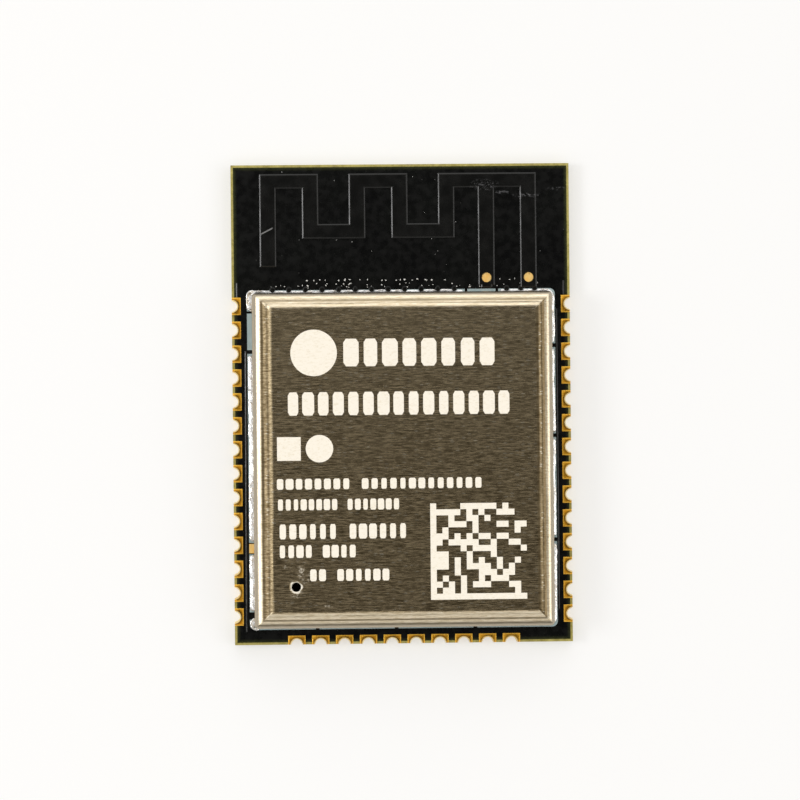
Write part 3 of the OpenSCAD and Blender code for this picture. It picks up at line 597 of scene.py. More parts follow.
# The swell's section: how far in from the track's edge, and the share of the height reached there
SHOULDER = [(-0.03, 0.0), (-0.02, 0.30), (-0.008, 0.54), (0.0, 0.58), (0.02, 0.70), (0.045, 0.85),
            (0.062, 0.94), (0.085, 0.99), (0.12, 1.0)]
track_low, track_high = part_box("antenna_track")
points_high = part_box("test_points")[1]
far_end = track_high.y / MM
near_end = track_low.y / MM
fold = far_end - FOLD_DEPTH
open_end = far_end - OPEN_LEG_L
legs = [track_low.x / MM + LEG_HALF]
for step in LEG_STEPS:
    legs.append(legs[-1] + step)
feed_x, ground_x = legs[5], legs[6]
TEST_POINT_R = 0.255
OPENING_FLARE = 0.015
OPENING_TUCK = 0.005
OPENING_DEPTH = 0.045
test_y = points_high.y / MM - TEST_POINT_R
neck_y = test_y - TEST_POINT_R - NECK_GAP


def fold_outline():
    """The folded track in plan, as one line round it, starting at the open leg's foot."""
    low_bar = fold + BAR_W
    under_bar = far_end - BAR_W
    line = [(legs[0] - LEG_HALF, open_end), (legs[0] - LEG_HALF, far_end)]
    for left, right in ((1, 2), (3, 4)):
        line += [(legs[left] + LEG_HALF, far_end), (legs[left] + LEG_HALF, low_bar),
                 (legs[right] - LEG_HALF, low_bar), (legs[right] - LEG_HALF, far_end)]
    line += [(ground_x + LEG_HALF, far_end), (ground_x + LEG_HALF, near_end),
             (ground_x - LEG_HALF, near_end), (ground_x - LEG_HALF, under_bar),
             (feed_x + LEG_HALF, under_bar), (feed_x + LEG_HALF, neck_y),
             (feed_x + NECK_HALF, neck_y), (feed_x + NECK_HALF, near_end),
             (feed_x - NECK_HALF, near_end), (feed_x - NECK_HALF, neck_y),
             (feed_x - LEG_HALF, neck_y), (feed_x - LEG_HALF, under_bar)]
    for right, left in ((4, 3), (2, 1)):
        line += [(legs[right] + LEG_HALF, under_bar), (legs[right] + LEG_HALF, fold),
                 (legs[left] - LEG_HALF, fold), (legs[left] - LEG_HALF, under_bar)]
    return line + [(legs[0] + LEG_HALF, under_bar), (legs[0] + LEG_HALF, open_end)]


def drawn_in(line, inset):
    """A clockwise outline of square corners, moved inwards all round."""
    moved = []
    for i, here in enumerate(line):
        before = (Vector(here) - Vector(line[i - 1])).normalized()
        after = (Vector(line[(i + 1) % len(line)]) - Vector(here)).normalized()
        moved.append(Vector(here) + inset * (Vector((before.y, -before.x)) + Vector((after.y, -after.x))))
    return moved


def ring_of(bm, points, height):
    return [bm.verts.new(Vector((x, y, height)) * MM) for x, y in points]


def skin(bm, first, second):
    """Joins two rings of the same count with a band of faces."""
    for i in range(len(first)):
        j = (i + 1) % len(first)
        bm.faces.new((first[i], first[j], second[j], second[i]))


def fill_plate(bm, rings):
    """Fills the flat face inside the first ring, round the holes that the others make."""
    edges = [bm.edges.get((ring[i - 1], ring[i])) or bm.edges.new((ring[i - 1], ring[i]))
             for ring in rings for i in range(len(ring))]
    bmesh.ops.triangle_fill(bm, edges=edges, use_beauty=True, use_dissolve=False)


def circle_points(x, y, radius, count=40):
    return [(x + radius * math.cos(2 * math.pi * i / count), y + radius * math.sin(2 * math.pi * i / count))
            for i in range(count)]


bm = bmesh.new()
outline = fold_outline()
rings = [ring_of(bm, drawn_in(outline, inset), MASK_TOP + share * (TRACK_TOP - MASK_TOP))
         for inset, share in SHOULDER]
for low_ring, high_ring in zip(rings, rings[1:]):
    skin(bm, low_ring, high_ring)
openings = []
for x in (feed_x, ground_x):
    lip = ring_of(bm, circle_points(x, test_y, TEST_POINT_R + OPENING_FLARE), TRACK_TOP)
    foot = ring_of(bm, circle_points(x, test_y, TEST_POINT_R - OPENING_TUCK), TRACK_TOP - OPENING_DEPTH)
    skin(bm, lip, foot)
    openings.append(lip)
fill_plate(bm, [rings[-1]] + openings)
# Fine ridges by the can and the antenna show where an inner layer of copper stops: foot and head
RIDGE_HALF = 0.045
RIDGE_H = 0.016
RIDGES = [((-8.37, -12.05), (-8.29, 2.87)), ((8.27, -11.0), (8.27, 5.0)),
          ((-8.72, 5.75), (-8.72, 6.5)), ((8.66, 5.75), (8.66, 6.5))]
across = Vector((RIDGE_HALF, 0))
for foot, head in RIDGES:
    rows = []
    for side, lift in ((-1, 0.0), (-0.5, 0.5), (0, 1.0), (0.5, 0.5), (1, 0.0)):
        ends = [Vector(foot) + across * side, Vector(head) + across * side]
        rows.append(ring_of(bm, ends, MASK_TOP + lift * RIDGE_H))
    for low_row, high_row in zip(rows, rows[1:]):
        bm.faces.new((low_row[0], high_row[0], high_row[1], low_row[1]))
swell = new_object("mask_over_track", mesh_from(bm, "mask_over_track", sharp_angle=25))
swell.data.materials.append(mask_on_copper)
seat(swell, "solder_mask")


# --- Parts under the can ------------------------------------------------------------------
# A processor, a memory, a crystal and rows of small capacitors, resistors and inductors are
# soldered by reflow under the can. Packages are moulded resin, and chips are fired ceramic.


def plain_finish(name, dark, light, roughness, metallic=0.0, grain_mm=0.2, relief=0.01):
    """A finish that drifts between two colours, with a fine grain of that size."""
    made, tree, shader, place = new_material(name, roughness=roughness, metallic=metallic)
    drift = noise_value(tree, place, 1.1, detail=3)
    fine = noise_value(tree, place, 1 / grain_mm, detail=4)
    both = math_node(tree, "MULTIPLY_ADD", drift, 0.5, math_node(tree, "MULTIPLY", fine, 0.5))
    link(tree, mix_colour(tree, remap(tree, both, 0.35, 0.65), dark, light), shader, "Base Color")
    link(tree, remap(tree, fine, 0.3, 0.7, roughness * 0.85, roughness * 1.15), shader, "Roughness")
    bump(tree, shader, fine, relief)
    return made


moulding = plain_finish("moulding_resin", (0.012, 0.012, 0.013), (0.028, 0.028, 0.030), 0.62, grain_mm=0.05)
tin = plain_finish("tinned_ends", (0.55, 0.55, 0.53), (0.78, 0.78, 0.76), 0.30, metallic=0.9, grain_mm=0.1)
crystal_ceramic = plain_finish("crystal_ceramic", (0.42, 0.38, 0.30), (0.58, 0.53, 0.44), 0.55)
capacitor_ceramic = plain_finish("capacitor_ceramic", (0.42, 0.26, 0.15), (0.58, 0.40, 0.26), 0.48)
resistor_coat = plain_finish("resistor_coat", (0.012, 0.012, 0.014), (0.03, 0.03, 0.035), 0.22)
inductor_ceramic = plain_finish("inductor_ceramic", (0.40, 0.52, 0.60), (0.58, 0.68, 0.74), 0.45)
for name, material in {
        "processor_body": moulding, "memory_body": moulding, "processor_contacts": tin,
        "memory_leads": tin, "crystal_base": crystal_ceramic, "crystal_lid": tin,
        "capacitor_bodies": capacitor_ceramic, "capacitor_ends": tin,
        "resistor_bodies": resistor_coat, "resistor_ends": tin,
        "inductor_bodies": inductor_ceramic, "inductor_ends": tin}.items():
    finish_node(name, material)


# --- Shield can -------------------------------------------------------------------------
# The can is drawn from one sheet of tinned nickel silver, brushed across its width. Its rim
# falls in two low terraces to a soft bend, and a small hole lets gas out during reflow.

can_low, can_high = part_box("shield_can")
can_mid = (can_low + can_high) / 2

can_metal, tree, shader, place = new_material("brushed_can", roughness=0.27, metallic=1.0)
axes = axis_values(tree, place)
CAN_HALF_W = (can_high.x - can_low.x) / 2 / MM
CAN_HALF_L = (can_high.y - can_low.y) / 2 / MM
off_mid = math_node(tree, "SUBTRACT", axes["Y"], can_mid.y / MM)
from_side = math_node(tree, "SUBTRACT", CAN_HALF_W, math_node(tree, "ABSOLUTE", axes["X"]))
from_end = math_node(tree, "SUBTRACT", CAN_HALF_L, math_node(tree, "ABSOLUTE", off_mid))
END_SHARE = 0.91
inset = math_node(tree, "MINIMUM", from_side, math_node(tree, "DIVIDE", from_end, END_SHARE))
rim = remap(tree, inset, 0.84, 0.96, 1.0, 0.0)
grain = place_group(tree, grain_group, Place=place)
# The flat top is painted dark, as the dark reflection it shows, and the rim is painted light, as the bright
# reflection its slopes show.
dark = mix_colour(tree, remap(tree, grain["Streak"], 0.38, 0.60), (0.24, 0.185, 0.10), (0.62, 0.505, 0.325))
light = mix_colour(tree, remap(tree, grain["Streak"], 0.38, 0.60), (0.66, 0.555, 0.38), (0.93, 0.83, 0.65))
# The brush runs across, so the slopes of the long sides send less light up than those of the ends: this is
# painted shade in their colour, darker still on the right side.
on_side = math_node(tree, "LESS_THAN", from_side, from_end)
past_bend = remap(tree, inset, 0.40, 0.48)
shaded_side = mix_colour(
    tree, remap(tree, grain["Streak"], 0.40, 0.58), (0.17, 0.12, 0.06), (0.45, 0.36, 0.225))
on_right = math_node(tree, "GREATER_THAN", axes["X"], 0.0)
shaded_side = tinted(tree, shaded_side, on_right, 0.4, (0.12, 0.085, 0.04))
light = mix_colour(tree, math_node(tree, "MULTIPLY", on_side, past_bend), light, shaded_side)
# The flat top is painted lighter towards the far end, in clouded drifts, as the brighter reflection it shows
# there.
clouds = noise_value(tree, stretched(tree, place, (0.35, 0.7, 0.7)), 1.0, detail=3)
drifted_y = math_node(tree, "ADD", axes["Y"], math_node(tree, "MULTIPLY", clouds, 6.0))
towards_far = remap(tree, drifted_y, -4.0, 10.0)
dark = tinted(tree, dark, towards_far, 0.30, (0.62, 0.53, 0.37))
colour = mix_colour(tree, rim, dark, light)
# Fine nicks in the brushed top are painted pale as glints.
glints = stretched(tree, place, (3.2, 14.0, 14.0))
glinting_nicks = place_group(tree, specks_group, Place=glints, Per_mm=1.0, Size=0.36, Share=0.16)["Mask"]
colour = tinted(tree, colour, glinting_nicks, 0.5, (0.95, 0.90, 0.76))
# Where the rim falls away along the long sides, each brush line breaks its reflection in a tick, painted as a
# dark tick of shade.
ladder = noise_value(tree, stretched(tree, place, (1.2, 9.5, 9.5)), 1.0, detail=2, roughness=0.8)
rim_side = math_node(tree, "MULTIPLY", rim, on_side)
ticked = math_node(tree, "MULTIPLY", rim_side, remap(tree, ladder, 0.50, 0.60))
ticked = math_node(tree, "MULTIPLY", ticked, past_bend)
colour = tinted(tree, colour, ticked, 0.6, (0.20, 0.15, 0.075))
# Past the bend the flat is painted dark in a line all round, as the dark reflection it shows there, and the
# near end's bend is painted dark in a second line, as shade.
crease_shade = math_node(tree, "MULTIPLY", remap(tree, inset, 0.42, 0.47), remap(tree, inset, 0.58, 0.50))
crease_shade = math_node(tree, "MULTIPLY", crease_shade, math_node(tree, "MULTIPLY_ADD", on_side, -0.2, 0.65))
at_near_end = math_node(tree, "MULTIPLY", math_node(tree, "LESS_THAN", off_mid, 0.0),
                        math_node(tree, "SUBTRACT", 1.0, on_side))
near_bend_shade = math_node(tree, "MULTIPLY", remap(tree, inset, 0.15, 0.21), remap(tree, inset, 0.30, 0.25))
near_bend_shade = math_node(tree, "MULTIPLY", near_bend_shade, math_node(tree, "MULTIPLY", at_near_end, 0.6))
colour = mix_colour(tree, math_node(tree, "MAXIMUM", crease_shade, near_bend_shade), colour, (0.20, 0.14, 0.07))
# The wall and the outer half of the bend are painted darker and browner than the rolled face, as shade.
colour = mix_colour(tree, remap(tree, inset, 0.26, 0.14, 0.0, 0.8), colour, (0.40, 0.345, 0.265))
VENT_R = 0.24
VENT_LIP = 0.1
VENT_IN = 2.2
VENT_X = -CAN_HALF_W + VENT_IN
VENT_Y = can_low.y / MM + VENT_IN
off_x = math_node(tree, "SUBTRACT", axes["X"], VENT_X)
off_y = math_node(tree, "SUBTRACT", axes["Y"], VENT_Y)
from_vent = length_of(tree, off_x, off_y)
torn = math_node(tree, "MULTIPLY_ADD", noise_value(tree, place, 4.0, detail=3), 0.22, from_vent)
# The punched lip's ragged ring is painted pale as a highlight.
lip = remap(tree, torn, VENT_R + VENT_LIP + 0.12, VENT_R + VENT_LIP + 0.06)
scuffs_and_lip_highlight = lip
# Scuffs round the vent: place from its middle, length and depth
SCUFFS = [(0.25, 0.80, 0.28, 0.50), (0.62, 0.42, 0.40, 0.32), (0.0, -0.35, 0.45, 0.30),
          (1.65, -0.98, 0.28, 0.18), (-0.45, 1.05, 0.25, 0.2)]
for x, y, length, depth in SCUFFS:
    mark = place_group(tree, smear_group, Place=place, X=VENT_X + x, Y=VENT_Y + y + 0.25,
                       Length=length, Depth=depth)["Mask"]
    scuffs_and_lip_highlight = math_node(tree, "MAXIMUM", scuffs_and_lip_highlight, math_node(tree, "MULTIPLY", mark, 0.75))
colour = mix_colour(tree, scuffs_and_lip_highlight, colour, (0.90, 0.85, 0.74))
link(tree, math_node(tree, "MULTIPLY_ADD", scuffs_and_lip_highlight, -0.8, 1.0), shader, "Metallic")
link(tree, colour, shader, "Base Color")
smooth = remap(tree, grain["Streak"], 0.3, 0.7, 0.2, 0.3)
link(tree, math_node(tree, "MULTIPLY_ADD", rim, 0.1, smooth), shader, "Roughness")
bump(tree, shader, grain["Height"], 0.005)

CAN_H = (can_high.z - can_low.z) / MM
CAN_TOP = can_high.z / MM
CAN_MID_Y = can_mid.y / MM
SHEET = 0.15
CORNER_R = 0.22
LEAST_CORNER_R = 0.05
CORNER_POINTS = 7
CORNER_ANGLE = 15
SIDE_STEPS = 24
BEND_R = 0.46
RIM_DROP = 0.1
TREMOR = 0.012
CORNERS = ((1, 1), (-1, 1), (-1, -1), (1, -1))
# The press sets the terraces a little off the middle of the can
PRESS_SHIFT = Vector((0.12, 0.06))
FULL_SHIFT_IN = 0.9
# From the bend inwards: distance from the wall, and depth under the flat top
TERRACES = [(0.49, 0.099), (0.52, 0.094), (0.57, 0.080), (0.64, 0.060), (0.68, 0.052), (0.71, 0.050),
            (0.74, 0.045), (0.79, 0.030), (0.85, 0.012), (0.89, 0.003), (0.93, 0.0), (0.97, 0.0)]


def corner_arc(centre, radius, turn):
    """Points round one corner, each with its outward direction."""
    arc = []
    for i in range(CORNER_POINTS):
        angle = math.radians(90 * turn + CORNER_ANGLE * i)
        out = Vector((math.cos(angle), math.sin(angle)))
        arc.append((centre + radius * out, out))
    return arc


def rim_loop(bm, inset, depth, tremor=0.0):
    """One turn round the can at that distance from its wall and depth under its top."""
    end_inset = inset * (END_SHARE if inset > BEND_R else 1.0)
    half_w, half_l = CAN_HALF_W - inset, CAN_HALF_L - end_inset
    radius = max(CORNER_R - inset, LEAST_CORNER_R)
    shift = PRESS_SHIFT * max(0.0, min(inset / FULL_SHIFT_IN, 1.0))
    centres = [Vector((sx * (half_w - radius), sy * (half_l - radius))) for sx, sy in CORNERS]
    points = []
    for turn, centre in enumerate(centres):
        arc = corner_arc(centre, radius, turn)
        points += [spot for spot, out in arc]
        start, out = arc[-1]
        end = centres[(turn + 1) % 4] + radius * out
        points += [start.lerp(end, i / SIDE_STEPS) for i in range(1, SIDE_STEPS)]
    ring = []
    for point in points:
        x, y = point + shift
        wave = tremor * noise.noise(Vector((x * 0.9, y * 0.9, inset * 6)))
        ring.append(bm.verts.new(Vector((x, y + CAN_MID_Y, CAN_TOP - depth + wave)) * MM))
    return ring


def bend_section(within, step):
    """The bend at that depth within the sheet, as distances from the wall and depths."""
    radius = BEND_R - within
    section = []
    for degrees in range(0, 91, step):
        angle = math.radians(degrees)
        section.append((within + radius * (1 - math.cos(angle)),
                        within + RIM_DROP + radius * (1 - math.sin(angle))))
    return section


bm = bmesh.new()
outer = [rim_loop(bm, 0.0, CAN_H)] + [rim_loop(bm, *place) for place in bend_section(0.0, 10)]
outer += [rim_loop(bm, inset, depth, TREMOR if depth else 0.0) for inset, depth in TERRACES]
inner = [rim_loop(bm, SHEET, CAN_H)] + [rim_loop(bm, *place) for place in bend_section(SHEET, 30)]
inner += [rim_loop(bm, inset, depth + SHEET) for inset, depth in ((0.5, 0.08), (0.9, 0.0))]
for rings in (outer, inner):
    for first, second in zip(rings, rings[1:]):
        skin(bm, first, second)
skin(bm, outer[0], inner[0])
# The punch has left a coned lip with a ragged bright edge
lip_profile = [(VENT_LIP + 0.05, 0.0), (VENT_LIP, 0.0), (VENT_LIP * 0.75, -0.012), (VENT_LIP * 0.4, -0.004),
               (0.02, 0.03), (0.0, 0.06), (0.0, SHEET)]
vent_rings = []
for spread, depth in lip_profile:
    points = []
    for x, y in circle_points(0, 0, 1.0):
        ragged = 1.0 + 0.25 * noise.noise(Vector((x * 1.7, y * 1.7, spread * 9)))
        reach = VENT_R + spread * ragged
        points.append((VENT_X + x * reach, VENT_Y + y * reach))
    vent_rings.append(ring_of(bm, points, CAN_TOP - depth))
for first, second in zip(vent_rings, vent_rings[1:]):
    skin(bm, first, second)
fill_plate(bm, [outer[-1], vent_rings[0]])
fill_plate(bm, [inner[-1], vent_rings[-1]])
can = new_object("formed_can", mesh_from(bm, "formed_can", sharp_angle=50))
can.data.materials.append(can_metal)
seat(can, "can_sheet", "shield_can")


# --- Etched marks -------------------------------------------------------------------------
# A laser roughens the flat top, which leaves it pale and matt there. The marks are plain rows of
# blocks, two discs, a square and a field of chance cells, each only a hair above the sheet.

MARK_T = 0.006
mark_tree, entry, exit_sockets = new_tree("marked_cells", {
    "Piece": "Object", "Columns": "Int", "Rows": "Int", "Cell": "Vector", "Middle": "Vector",
    "Least Width": "Float", "Share": "Float", "Seed": "Int", "Finish": "Material"})
cell_x, cell_y, _ = add_node(mark_tree, "ShaderNodeSeparateXYZ", {0: entry["Cell"]}).outputs
grid = add_node(mark_tree, "GeometryNodeMeshGrid", {
    "Vertices X": entry["Columns"], "Vertices Y": entry["Rows"],
    "Size X": math_node(mark_tree, "MULTIPLY", cell_x, math_node(mark_tree, "SUBTRACT", entry["Columns"], 1)),
    "Size Y": math_node(mark_tree, "MULTIPLY", cell_y, math_node(mark_tree, "SUBTRACT", entry["Rows"], 1))})
placed = add_node(mark_tree, "GeometryNodeSetPosition", {
    "Geometry": grid.outputs[0], "Offset": entry["Middle"]})
chance = add_node(mark_tree, "FunctionNodeRandomValue", {"Seed": entry["Seed"]}, data_type="FLOAT")
kept = math_node(mark_tree, "LESS_THAN", chance.outputs[1], entry["Share"])
width = add_node(mark_tree, "FunctionNodeRandomValue", {
    2: entry["Least Width"], "Seed": math_node(mark_tree, "ADD", entry["Seed"], 1)}, data_type="FLOAT")
size = add_node(mark_tree, "ShaderNodeCombineXYZ", {
    "X": math_node(mark_tree, "MULTIPLY", width.outputs[1], cell_x), "Y": cell_y, "Z": 1.0})
source = add_node(mark_tree, "GeometryNodeObjectInfo", {"Object": entry["Piece"]}).outputs["Geometry"]
cells = add_node(mark_tree, "GeometryNodeInstanceOnPoints", {
    "Points": placed.outputs[0], "Selection": kept, "Instance": source, "Scale": size.outputs[0]})
close_tree(mark_tree, cells.outputs[0], entry["Finish"], exit_sockets)

etched, tree, shader, place = new_material("etched_mark", roughness=0.6, specular=0.3)
frost = noise_value(tree, stretched(tree, place, (6.0, 14.0, 14.0)), 1.0, detail=4, roughness=0.7)
link(tree, mix_colour(tree, remap(tree, frost, 0.28, 0.52), (0.84, 0.76, 0.61), (0.98, 0.92, 0.81)),
     shader, "Base Color")
bump(tree, shader, frost, 0.004)


def mark_piece(name, outline):
    """A thin plate of that outline in unit lengths, ready to be repeated or seated."""
    bm = bmesh.new()
    add_prism(bm, outline, 0.0, MARK_T)
    return new_object(name, mesh_from(bm, name))


def square_points(x, y, half):
    return [(x + sx * half, y + sy * half) for sx, sy in ((1, -1), (1, 1), (-1, 1), (-1, -1))]


# A block and a cell are one metre tall here, and each row scales them down to its own cell
UNIT = 1 / MM
CHAMFER = 0.14
BLOCK_W = 0.84
# A block's cut corners, each a point on its flank and one on its head or foot
BLOCK_POINTS = ((1, -1, False), (1, 1, False), (1, 1, True), (-1, 1, True),
                (-1, 1, False), (-1, -1, False), (-1, -1, True), (1, -1, True))
block = mark_piece("block", [
    (x * UNIT * (BLOCK_W / 2 - (CHAMFER if on_head else 0)), y * UNIT * (0.5 - (0 if on_head else CHAMFER)))
    for x, y, on_head in BLOCK_POINTS])
cell = mark_piece("cell", square_points(0, 0, UNIT / 2))
CELLS = 15
CELL = 0.316
FIELD_X, FIELD_Y = 4.04, -7.60
half_field = (CELLS - 1) * CELL / 2
# Name, piece, columns, rows, cell width and height, middle, least width share, share kept (all
# of them, if over 1) and seed
fields = [
    ("etched_row_1", block, 8, 1, 1.02, 1.45, 0.85, 2.72, 0.80, 1.1, 3),
    ("etched_row_2", block, 15, 1, 0.79, 1.22, -0.25, 0.05, 0.70, 0.95, 21),
    ("etched_row_3", block, 22, 1, 0.495, 0.56, -1.30, -4.15, 0.62, 0.92, 4),
    ("etched_row_4", block, 16, 1, 0.405, 0.58, -3.45, -5.23, 0.62, 0.92, 15),
    ("etched_row_5", block, 13, 1, 0.525, 0.78, -3.23, -6.64, 0.62, 0.93, 16),
    ("etched_row_6", block, 10, 1, 0.46, 0.66, -4.34, -7.68, 0.62, 0.93, 7),
    ("etched_row_7", block, 9, 1, 0.475, 0.62, -2.90, -8.93, 0.62, 0.95, 9),
    ("etched_field", cell, CELLS, CELLS, CELL, CELL, FIELD_X, FIELD_Y, 1.0, 0.48, 12),
    ("field_foot", cell, CELLS, 1, CELL, CELL, FIELD_X, FIELD_Y - half_field - CELL, 1.0, 1.1, 1),
    ("field_side", cell, 1, CELLS + 1, CELL, CELL, FIELD_X - half_field - CELL, FIELD_Y - CELL / 2,
     1.0, 1.1, 1)]
for name, piece, columns, rows, cell_w, cell_h, x, y, least, share, seed in fields:
    marks = grow(name, mark_tree, {
        "Piece": piece, "Columns": columns, "Rows": rows, "Cell": Vector((cell_w, cell_h, 1)) * MM,
        "Middle": Vector((x, y, CAN_TOP)) * MM, "Least Width": least, "Share": share, "Seed": seed,
        "Finish": etched})
    seat(marks, "can_sheet")
for piece in (block, cell):
    bpy.data.objects.remove(piece)

# Middle, radius and count of sides of each disc, and middle and half width of the square
DISCS = [(-4.68, 2.72, 1.22, 64), (-4.42, -2.30, 0.72, 48)]
SQUARE = (-6.02, -2.30, 0.62)
bm = bmesh.new()
for outline in [circle_points(*disc) for disc in DISCS] + [square_points(*SQUARE)]:
    add_prism(bm, outline, CAN_TOP, CAN_TOP + MARK_T)
plain_marks = new_object("etched_shapes", mesh_from(bm, "etched_shapes"))
plain_marks.data.materials.append(etched)
seat(plain_marks, "can_sheet")


# --- Solder joint -------------------------------------------------------------------------
# Solder paste is printed on the land in separate lengths. In the oven it melts and climbs the
# can's wall in a bright hollow fillet, with a gap at each break between the lengths.

solder, tree, shader, place = new_material("reflowed_solder", roughness=0.2, metallic=1.0)
ripple = noise_value(tree, place, 3.2, detail=4, roughness=0.6)
colour = mix_colour(tree, remap(tree, ripple, 0.34, 0.52), (0.66, 0.61, 0.54), (0.96, 0.95, 0.93))
link(tree, colour, shader, "Base Color")
link(tree, remap(tree, ripple, 0.3, 0.7, 0.16, 0.32), shader, "Roughness")
bump(tree, shader, ripple, 0.06)

LAND_OUT = 0.3
END_LAND_OUT = 0.2
LAND_Z = BOARD_T
SOLDER_H = 0.2
STEP = 0.06
TIP_L = 0.16
WALL_LAP = 0.03
SHORTEST_RUN = 4
CAN_TOP_Y = can_high.y / MM
CAN_END_Y = can_low.y / MM
WINDOW_X = feed_x - 0.28
WINDOW_W = 1.5
VIA_R = 0.15
VIA_Y = CAN_TOP_Y + END_LAND_OUT + 0.04
# Capped holes along the antenna end: first place, pitch and count
via_rows = [(-CAN_HALF_W + 1.06, 0.88, 12), (WINDOW_X + 1.34, 0.75, 3)]
via_places = [start + i * pitch for start, pitch, count in via_rows for i in range(count)]
# Along each long side: middle and length of every break, from the antenna end to the pad end
LEFT_BREAKS = [(4.93, 0.12), (2.83, 0.2), (-7.62, 0.62), (-11.2, 0.4)]
RIGHT_BREAKS = [(3.05, 0.2), (-1.75, 0.2), (-7.3, 0.2)]
END_BREAKS = [(-4.6, 0.2), (-0.4, 0.2), (3.8, 0.2)]
TOP_BREAKS = [(WINDOW_X - 0.82, 0.14), (WINDOW_X + 0.82, 0.14)]


def foot_line():
    """Points round the can's foot with the outward direction at each."""
    centres = [Vector((sx * (CAN_HALF_W - CORNER_R), CAN_MID_Y + sy * (CAN_HALF_L - CORNER_R)))
               for sx, sy in CORNERS]
    line = []
    for turn, centre in enumerate(centres):
        line += corner_arc(centre, CORNER_R, turn)
        start, out = line[-1]
        end = centres[(turn + 1) % 4] + CORNER_R * out
        steps = round((end - start).length / STEP)
        line += [(start.lerp(end, i / steps), out) for i in range(1, steps)]
    return line


def in_break(point, out):
    """Whether that point of the can's foot lies where the land is broken."""
    if abs(out.y) < 0.1:
        breaks, along = (RIGHT_BREAKS if out.x > 0 else LEFT_BREAKS), point.y
    elif abs(out.x) < 0.1:
        breaks, along = (TOP_BREAKS if out.y > 0 else END_BREAKS), point.x
    else:
        return False
    return any(abs(along - middle) < length / 2 for middle, length in breaks)


def is_flat(point, out):
    """Two lengths of land are only tinned: one beside the can, and one over the feed."""
    beside = out.x < -0.9 and LEFT_BREAKS[1][0] < point.y < LEFT_BREAKS[0][0]
    return beside or (out.y > 0.9 and abs(point.x - WINDOW_X) < WINDOW_W / 2 + 0.07)


def fillet_section(point, out, ease):
    """How far the solder reaches from the wall and how high it climbs at that place."""
    lump = noise.noise(Vector((point.x * 1.1, point.y * 1.1, 3.7)))
    ripple = noise.noise(Vector((point.x * 3.7, point.y * 3.7, 9.1)))
    reach = abs(out.x) * LAND_OUT + abs(out.y) * (END_LAND_OUT if out.y > 0 else END_LAND_OUT * 0.3)
    reach /= abs(out.x) + abs(out.y)
    reach *= 0.9 + 0.22 * lump + 0.12 * ripple
    height = SOLDER_H * (1.0 + 0.5 * lump + 0.25 * ripple)
    if out.y > 0.9:
        for via_x in via_places:
            offset = abs(point.x - via_x)
            if offset < VIA_R:
                reach = min(reach, VIA_Y - CAN_TOP_Y - math.sqrt(VIA_R ** 2 - offset ** 2))
    return max(reach * ease, 0.03), max(height * ease, 0.04)


# The fillet's section: share of its reach from the wall, and share of its height there
FILLET = [(0.0, 1.0), (0.22, 0.70), (0.45, 0.45), (0.70, 0.24), (0.90, 0.12), (1.0, 0.05)]
line = foot_line()
runs, run = [], []
start = next(i for i, place in enumerate(line) if in_break(*place))
for point, out in line[start:] + line[:start]:
    if in_break(point, out) or is_flat(point, out):
        if len(run) > SHORTEST_RUN:
            runs.append(run)
        run = []
    else:
        run.append((point, out))
if len(run) > SHORTEST_RUN:
    runs.append(run)
bm = bmesh.new()
for run in runs:
    sections = []
    for i, (point, out) in enumerate(run):
        from_tip = min(i, len(run) - 1 - i) * STEP
        ease = math.sqrt(max(0.0, 1 - (1 - min(from_tip / TIP_L, 1.0)) ** 2))
        reach, height = fillet_section(point, out, ease)
        profile = [(-WALL_LAP, 0.0), (-WALL_LAP, height)]
        profile += [(u * reach, v * height) for u, v in FILLET] + [(reach, 0.0)]
        sections.append([bm.verts.new(Vector((*(point + out * u), LAND_Z + v)) * MM) for u, v in profile])
    for first, second in zip(sections, sections[1:]):
        skin(bm, first, second)
    bm.faces.new(sections[0])
    bm.faces.new(list(reversed(sections[-1])))
fillet = new_object("solder_fillet", mesh_from(bm, "solder_fillet", sharp_angle=70))
fillet.data.materials.append(solder)
seat(fillet, "solder", "shield_solder")


BEAD_SIDES = 10


def add_bead(bm, path, radius, flat=0.7):
    """A thin rope of solder with rounded tips, along a path in plan, resting on the land."""
    rings = []
    for i, here in enumerate(path):
        ahead = path[min(i + 1, len(path) - 1)]
        behind = path[max(i - 1, 0)]
        along = (Vector(ahead) - Vector(behind)).normalized()
        out = Vector((along.y, -along.x))
        swell = radius * (1 + 0.25 * noise.noise(Vector((here[0] * 4, here[1] * 4, 1.3))))
        tip = min(i, len(path) - 1 - i) / 3
        swell *= math.sqrt(max(0.15, 1 - (1 - min(tip, 1.0)) ** 2))
        ring = []
        for k in range(BEAD_SIDES):
            angle = 2 * math.pi * k / BEAD_SIDES
            spot = Vector(here) + out * (swell * math.cos(angle))
            ring.append(bm.verts.new(Vector((*spot, LAND_Z + flat * swell * (1 + math.sin(angle)))) * MM))
        rings.append(ring)
    for first, second in zip(rings, rings[1:]):
        skin(bm, first, second)
    bm.faces.new(rings[0])
    bm.faces.new(list(reversed(rings[-1])))


# At the two left corners the solder has drawn back to the rim of its land, in a ring
bm = bmesh.new()
top_ring = [(-7.86, 5.02), (-7.98, 5.03), (-8.09, 5.10), (-8.15, 5.22), (-8.18, 5.40), (-8.19, 5.60),
            (-8.18, 5.78), (-8.14, 5.92), (-8.05, 6.02), (-7.92, 6.05), (-7.76, 6.04)]
low_ring = [(-7.86, -11.36), (-8.00, -11.38), (-8.10, -11.47), (-8.14, -11.62), (-8.10, -11.78),
            (-8.00, -11.88), (-7.86, -11.92), (-7.70, -11.92)]
for ring_path in (top_ring, low_ring):
    finer = [Vector(a).lerp(Vector(b), t / 3) for a, b in zip(ring_path, ring_path[1:]) for t in range(3)]
    add_bead(bm, finer + [Vector(ring_path[-1])], 0.065)
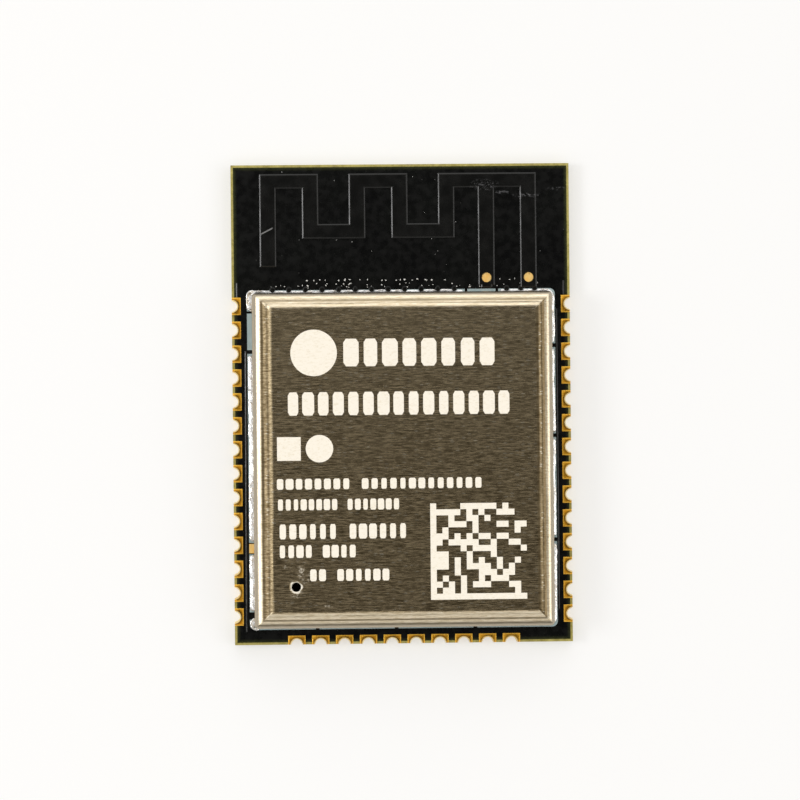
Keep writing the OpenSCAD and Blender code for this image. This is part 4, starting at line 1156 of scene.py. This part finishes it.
# A few lumps stand along the pad end, by the right corner: first and last x of each
LUMPS = [(6.25, 6.55), (6.66, 6.80), (6.95, 7.25), (7.40, 7.75)]
LUMP_STEPS = 5
lump_y = CAN_END_Y - 0.055
for first_x, last_x in LUMPS:
    path = [Vector((first_x + (last_x - first_x) * i / LUMP_STEPS, lump_y)) for i in range(LUMP_STEPS + 1)]
    add_bead(bm, path, 0.06, flat=1.2)
rings = new_object("solder_rings", mesh_from(bm, "solder_rings", sharp_angle=70))
rings.data.materials.append(solder)
seat(rings, "solder")

# Small holes beside the land are capped by the mask, each with a low dark dome
CAP_FLATNESS = 0.22
bm = bmesh.new()
bmesh.ops.create_uvsphere(bm, u_segments=20, v_segments=10, radius=VIA_R * MM)
for vert in list(bm.verts):
    vert.co.z *= CAP_FLATNESS
cap = new_object("cap", mesh_from(bm, "cap", sharp_angle=70))
for side, (start, pitch, count) in zip(("left", "right"), via_rows):
    caps = grow("capped_holes_" + side, row_tree, {
        "Piece": cap, "Count": count, "Start": Vector((start, VIA_Y, MASK_TOP)) * MM,
        "Step": Vector((pitch, 0, 0)) * MM, "Turn": (0.0, 0.0, 0.0), "Unevenness": 0.12,
        "Seed": count, "Finish": mask})
    seat(caps, "solder_mask")
bpy.data.objects.remove(cap)


# --- Painted glints and dust --------------------------------------------------------------
# Tiny white beads on the mask, thickest along the can's antenna end, are painted glints on the
# capped holes' bumps, and a little dust lies on the antenna.

bead_tree, entry, exit_sockets = new_tree("scattered_beads", {
    "Length": "Float", "Depth": "Float", "Middle": "Vector", "Per Square Metre": "Float",
    "Bead": "Float", "Seed": "Int", "Finish": "Material"})
patch = add_node(bead_tree, "GeometryNodeMeshGrid", {
    "Size X": entry["Length"], "Size Y": entry["Depth"], "Vertices X": 2, "Vertices Y": 2})
moved = add_node(bead_tree, "GeometryNodeSetPosition", {
    "Geometry": patch.outputs[0], "Offset": entry["Middle"]})
spots = add_node(bead_tree, "GeometryNodeDistributePointsOnFaces", {
    "Mesh": moved.outputs[0], "Density": entry["Per Square Metre"], "Seed": entry["Seed"]})
bead = add_node(bead_tree, "GeometryNodeMeshIcoSphere", {"Radius": entry["Bead"], "Subdivisions": 2})
size = add_node(bead_tree, "FunctionNodeRandomValue", {
    0: (0.35, 0.35, 0.2), 1: (1.3, 1.1, 0.5), "Seed": entry["Seed"]}, data_type="FLOAT_VECTOR")
beads = add_node(bead_tree, "GeometryNodeInstanceOnPoints", {
    "Points": spots.outputs[0], "Instance": bead.outputs[0], "Scale": size.outputs[0]})
close_tree(bead_tree, beads.outputs[0], entry["Finish"], exit_sockets)

glint_and_dust_finish = plain_finish("glint_and_dust_beads", (0.62, 0.62, 0.60), (0.86, 0.86, 0.84), 0.45, grain_mm=0.03, relief=0.004)
land_edge = CAN_TOP_Y + END_LAND_OUT
for name, length, depth, x, y, density, bead_r, seed in (
        ("flux_far", 14.6, 0.10, 0.2, land_edge + 0.52, 22e6, 0.046, 5),
        ("flux_near", 14.9, 0.26, 0.2, land_edge + 0.22, 14e6, 0.038, 11),
        ("dust_on_mask", 16.4, 5.6, 0.0, 9.6, 0.3e6, 0.018, 23)):
    scattered_beads = grow(name, bead_tree, {
        "Length": length * MM, "Depth": depth * MM, "Middle": Vector((x, y, MASK_TOP)) * MM,
        "Per Square Metre": density, "Bead": bead_r * MM, "Seed": seed, "Finish": glint_and_dust_finish})
    seat(scattered_beads, "solder_mask")
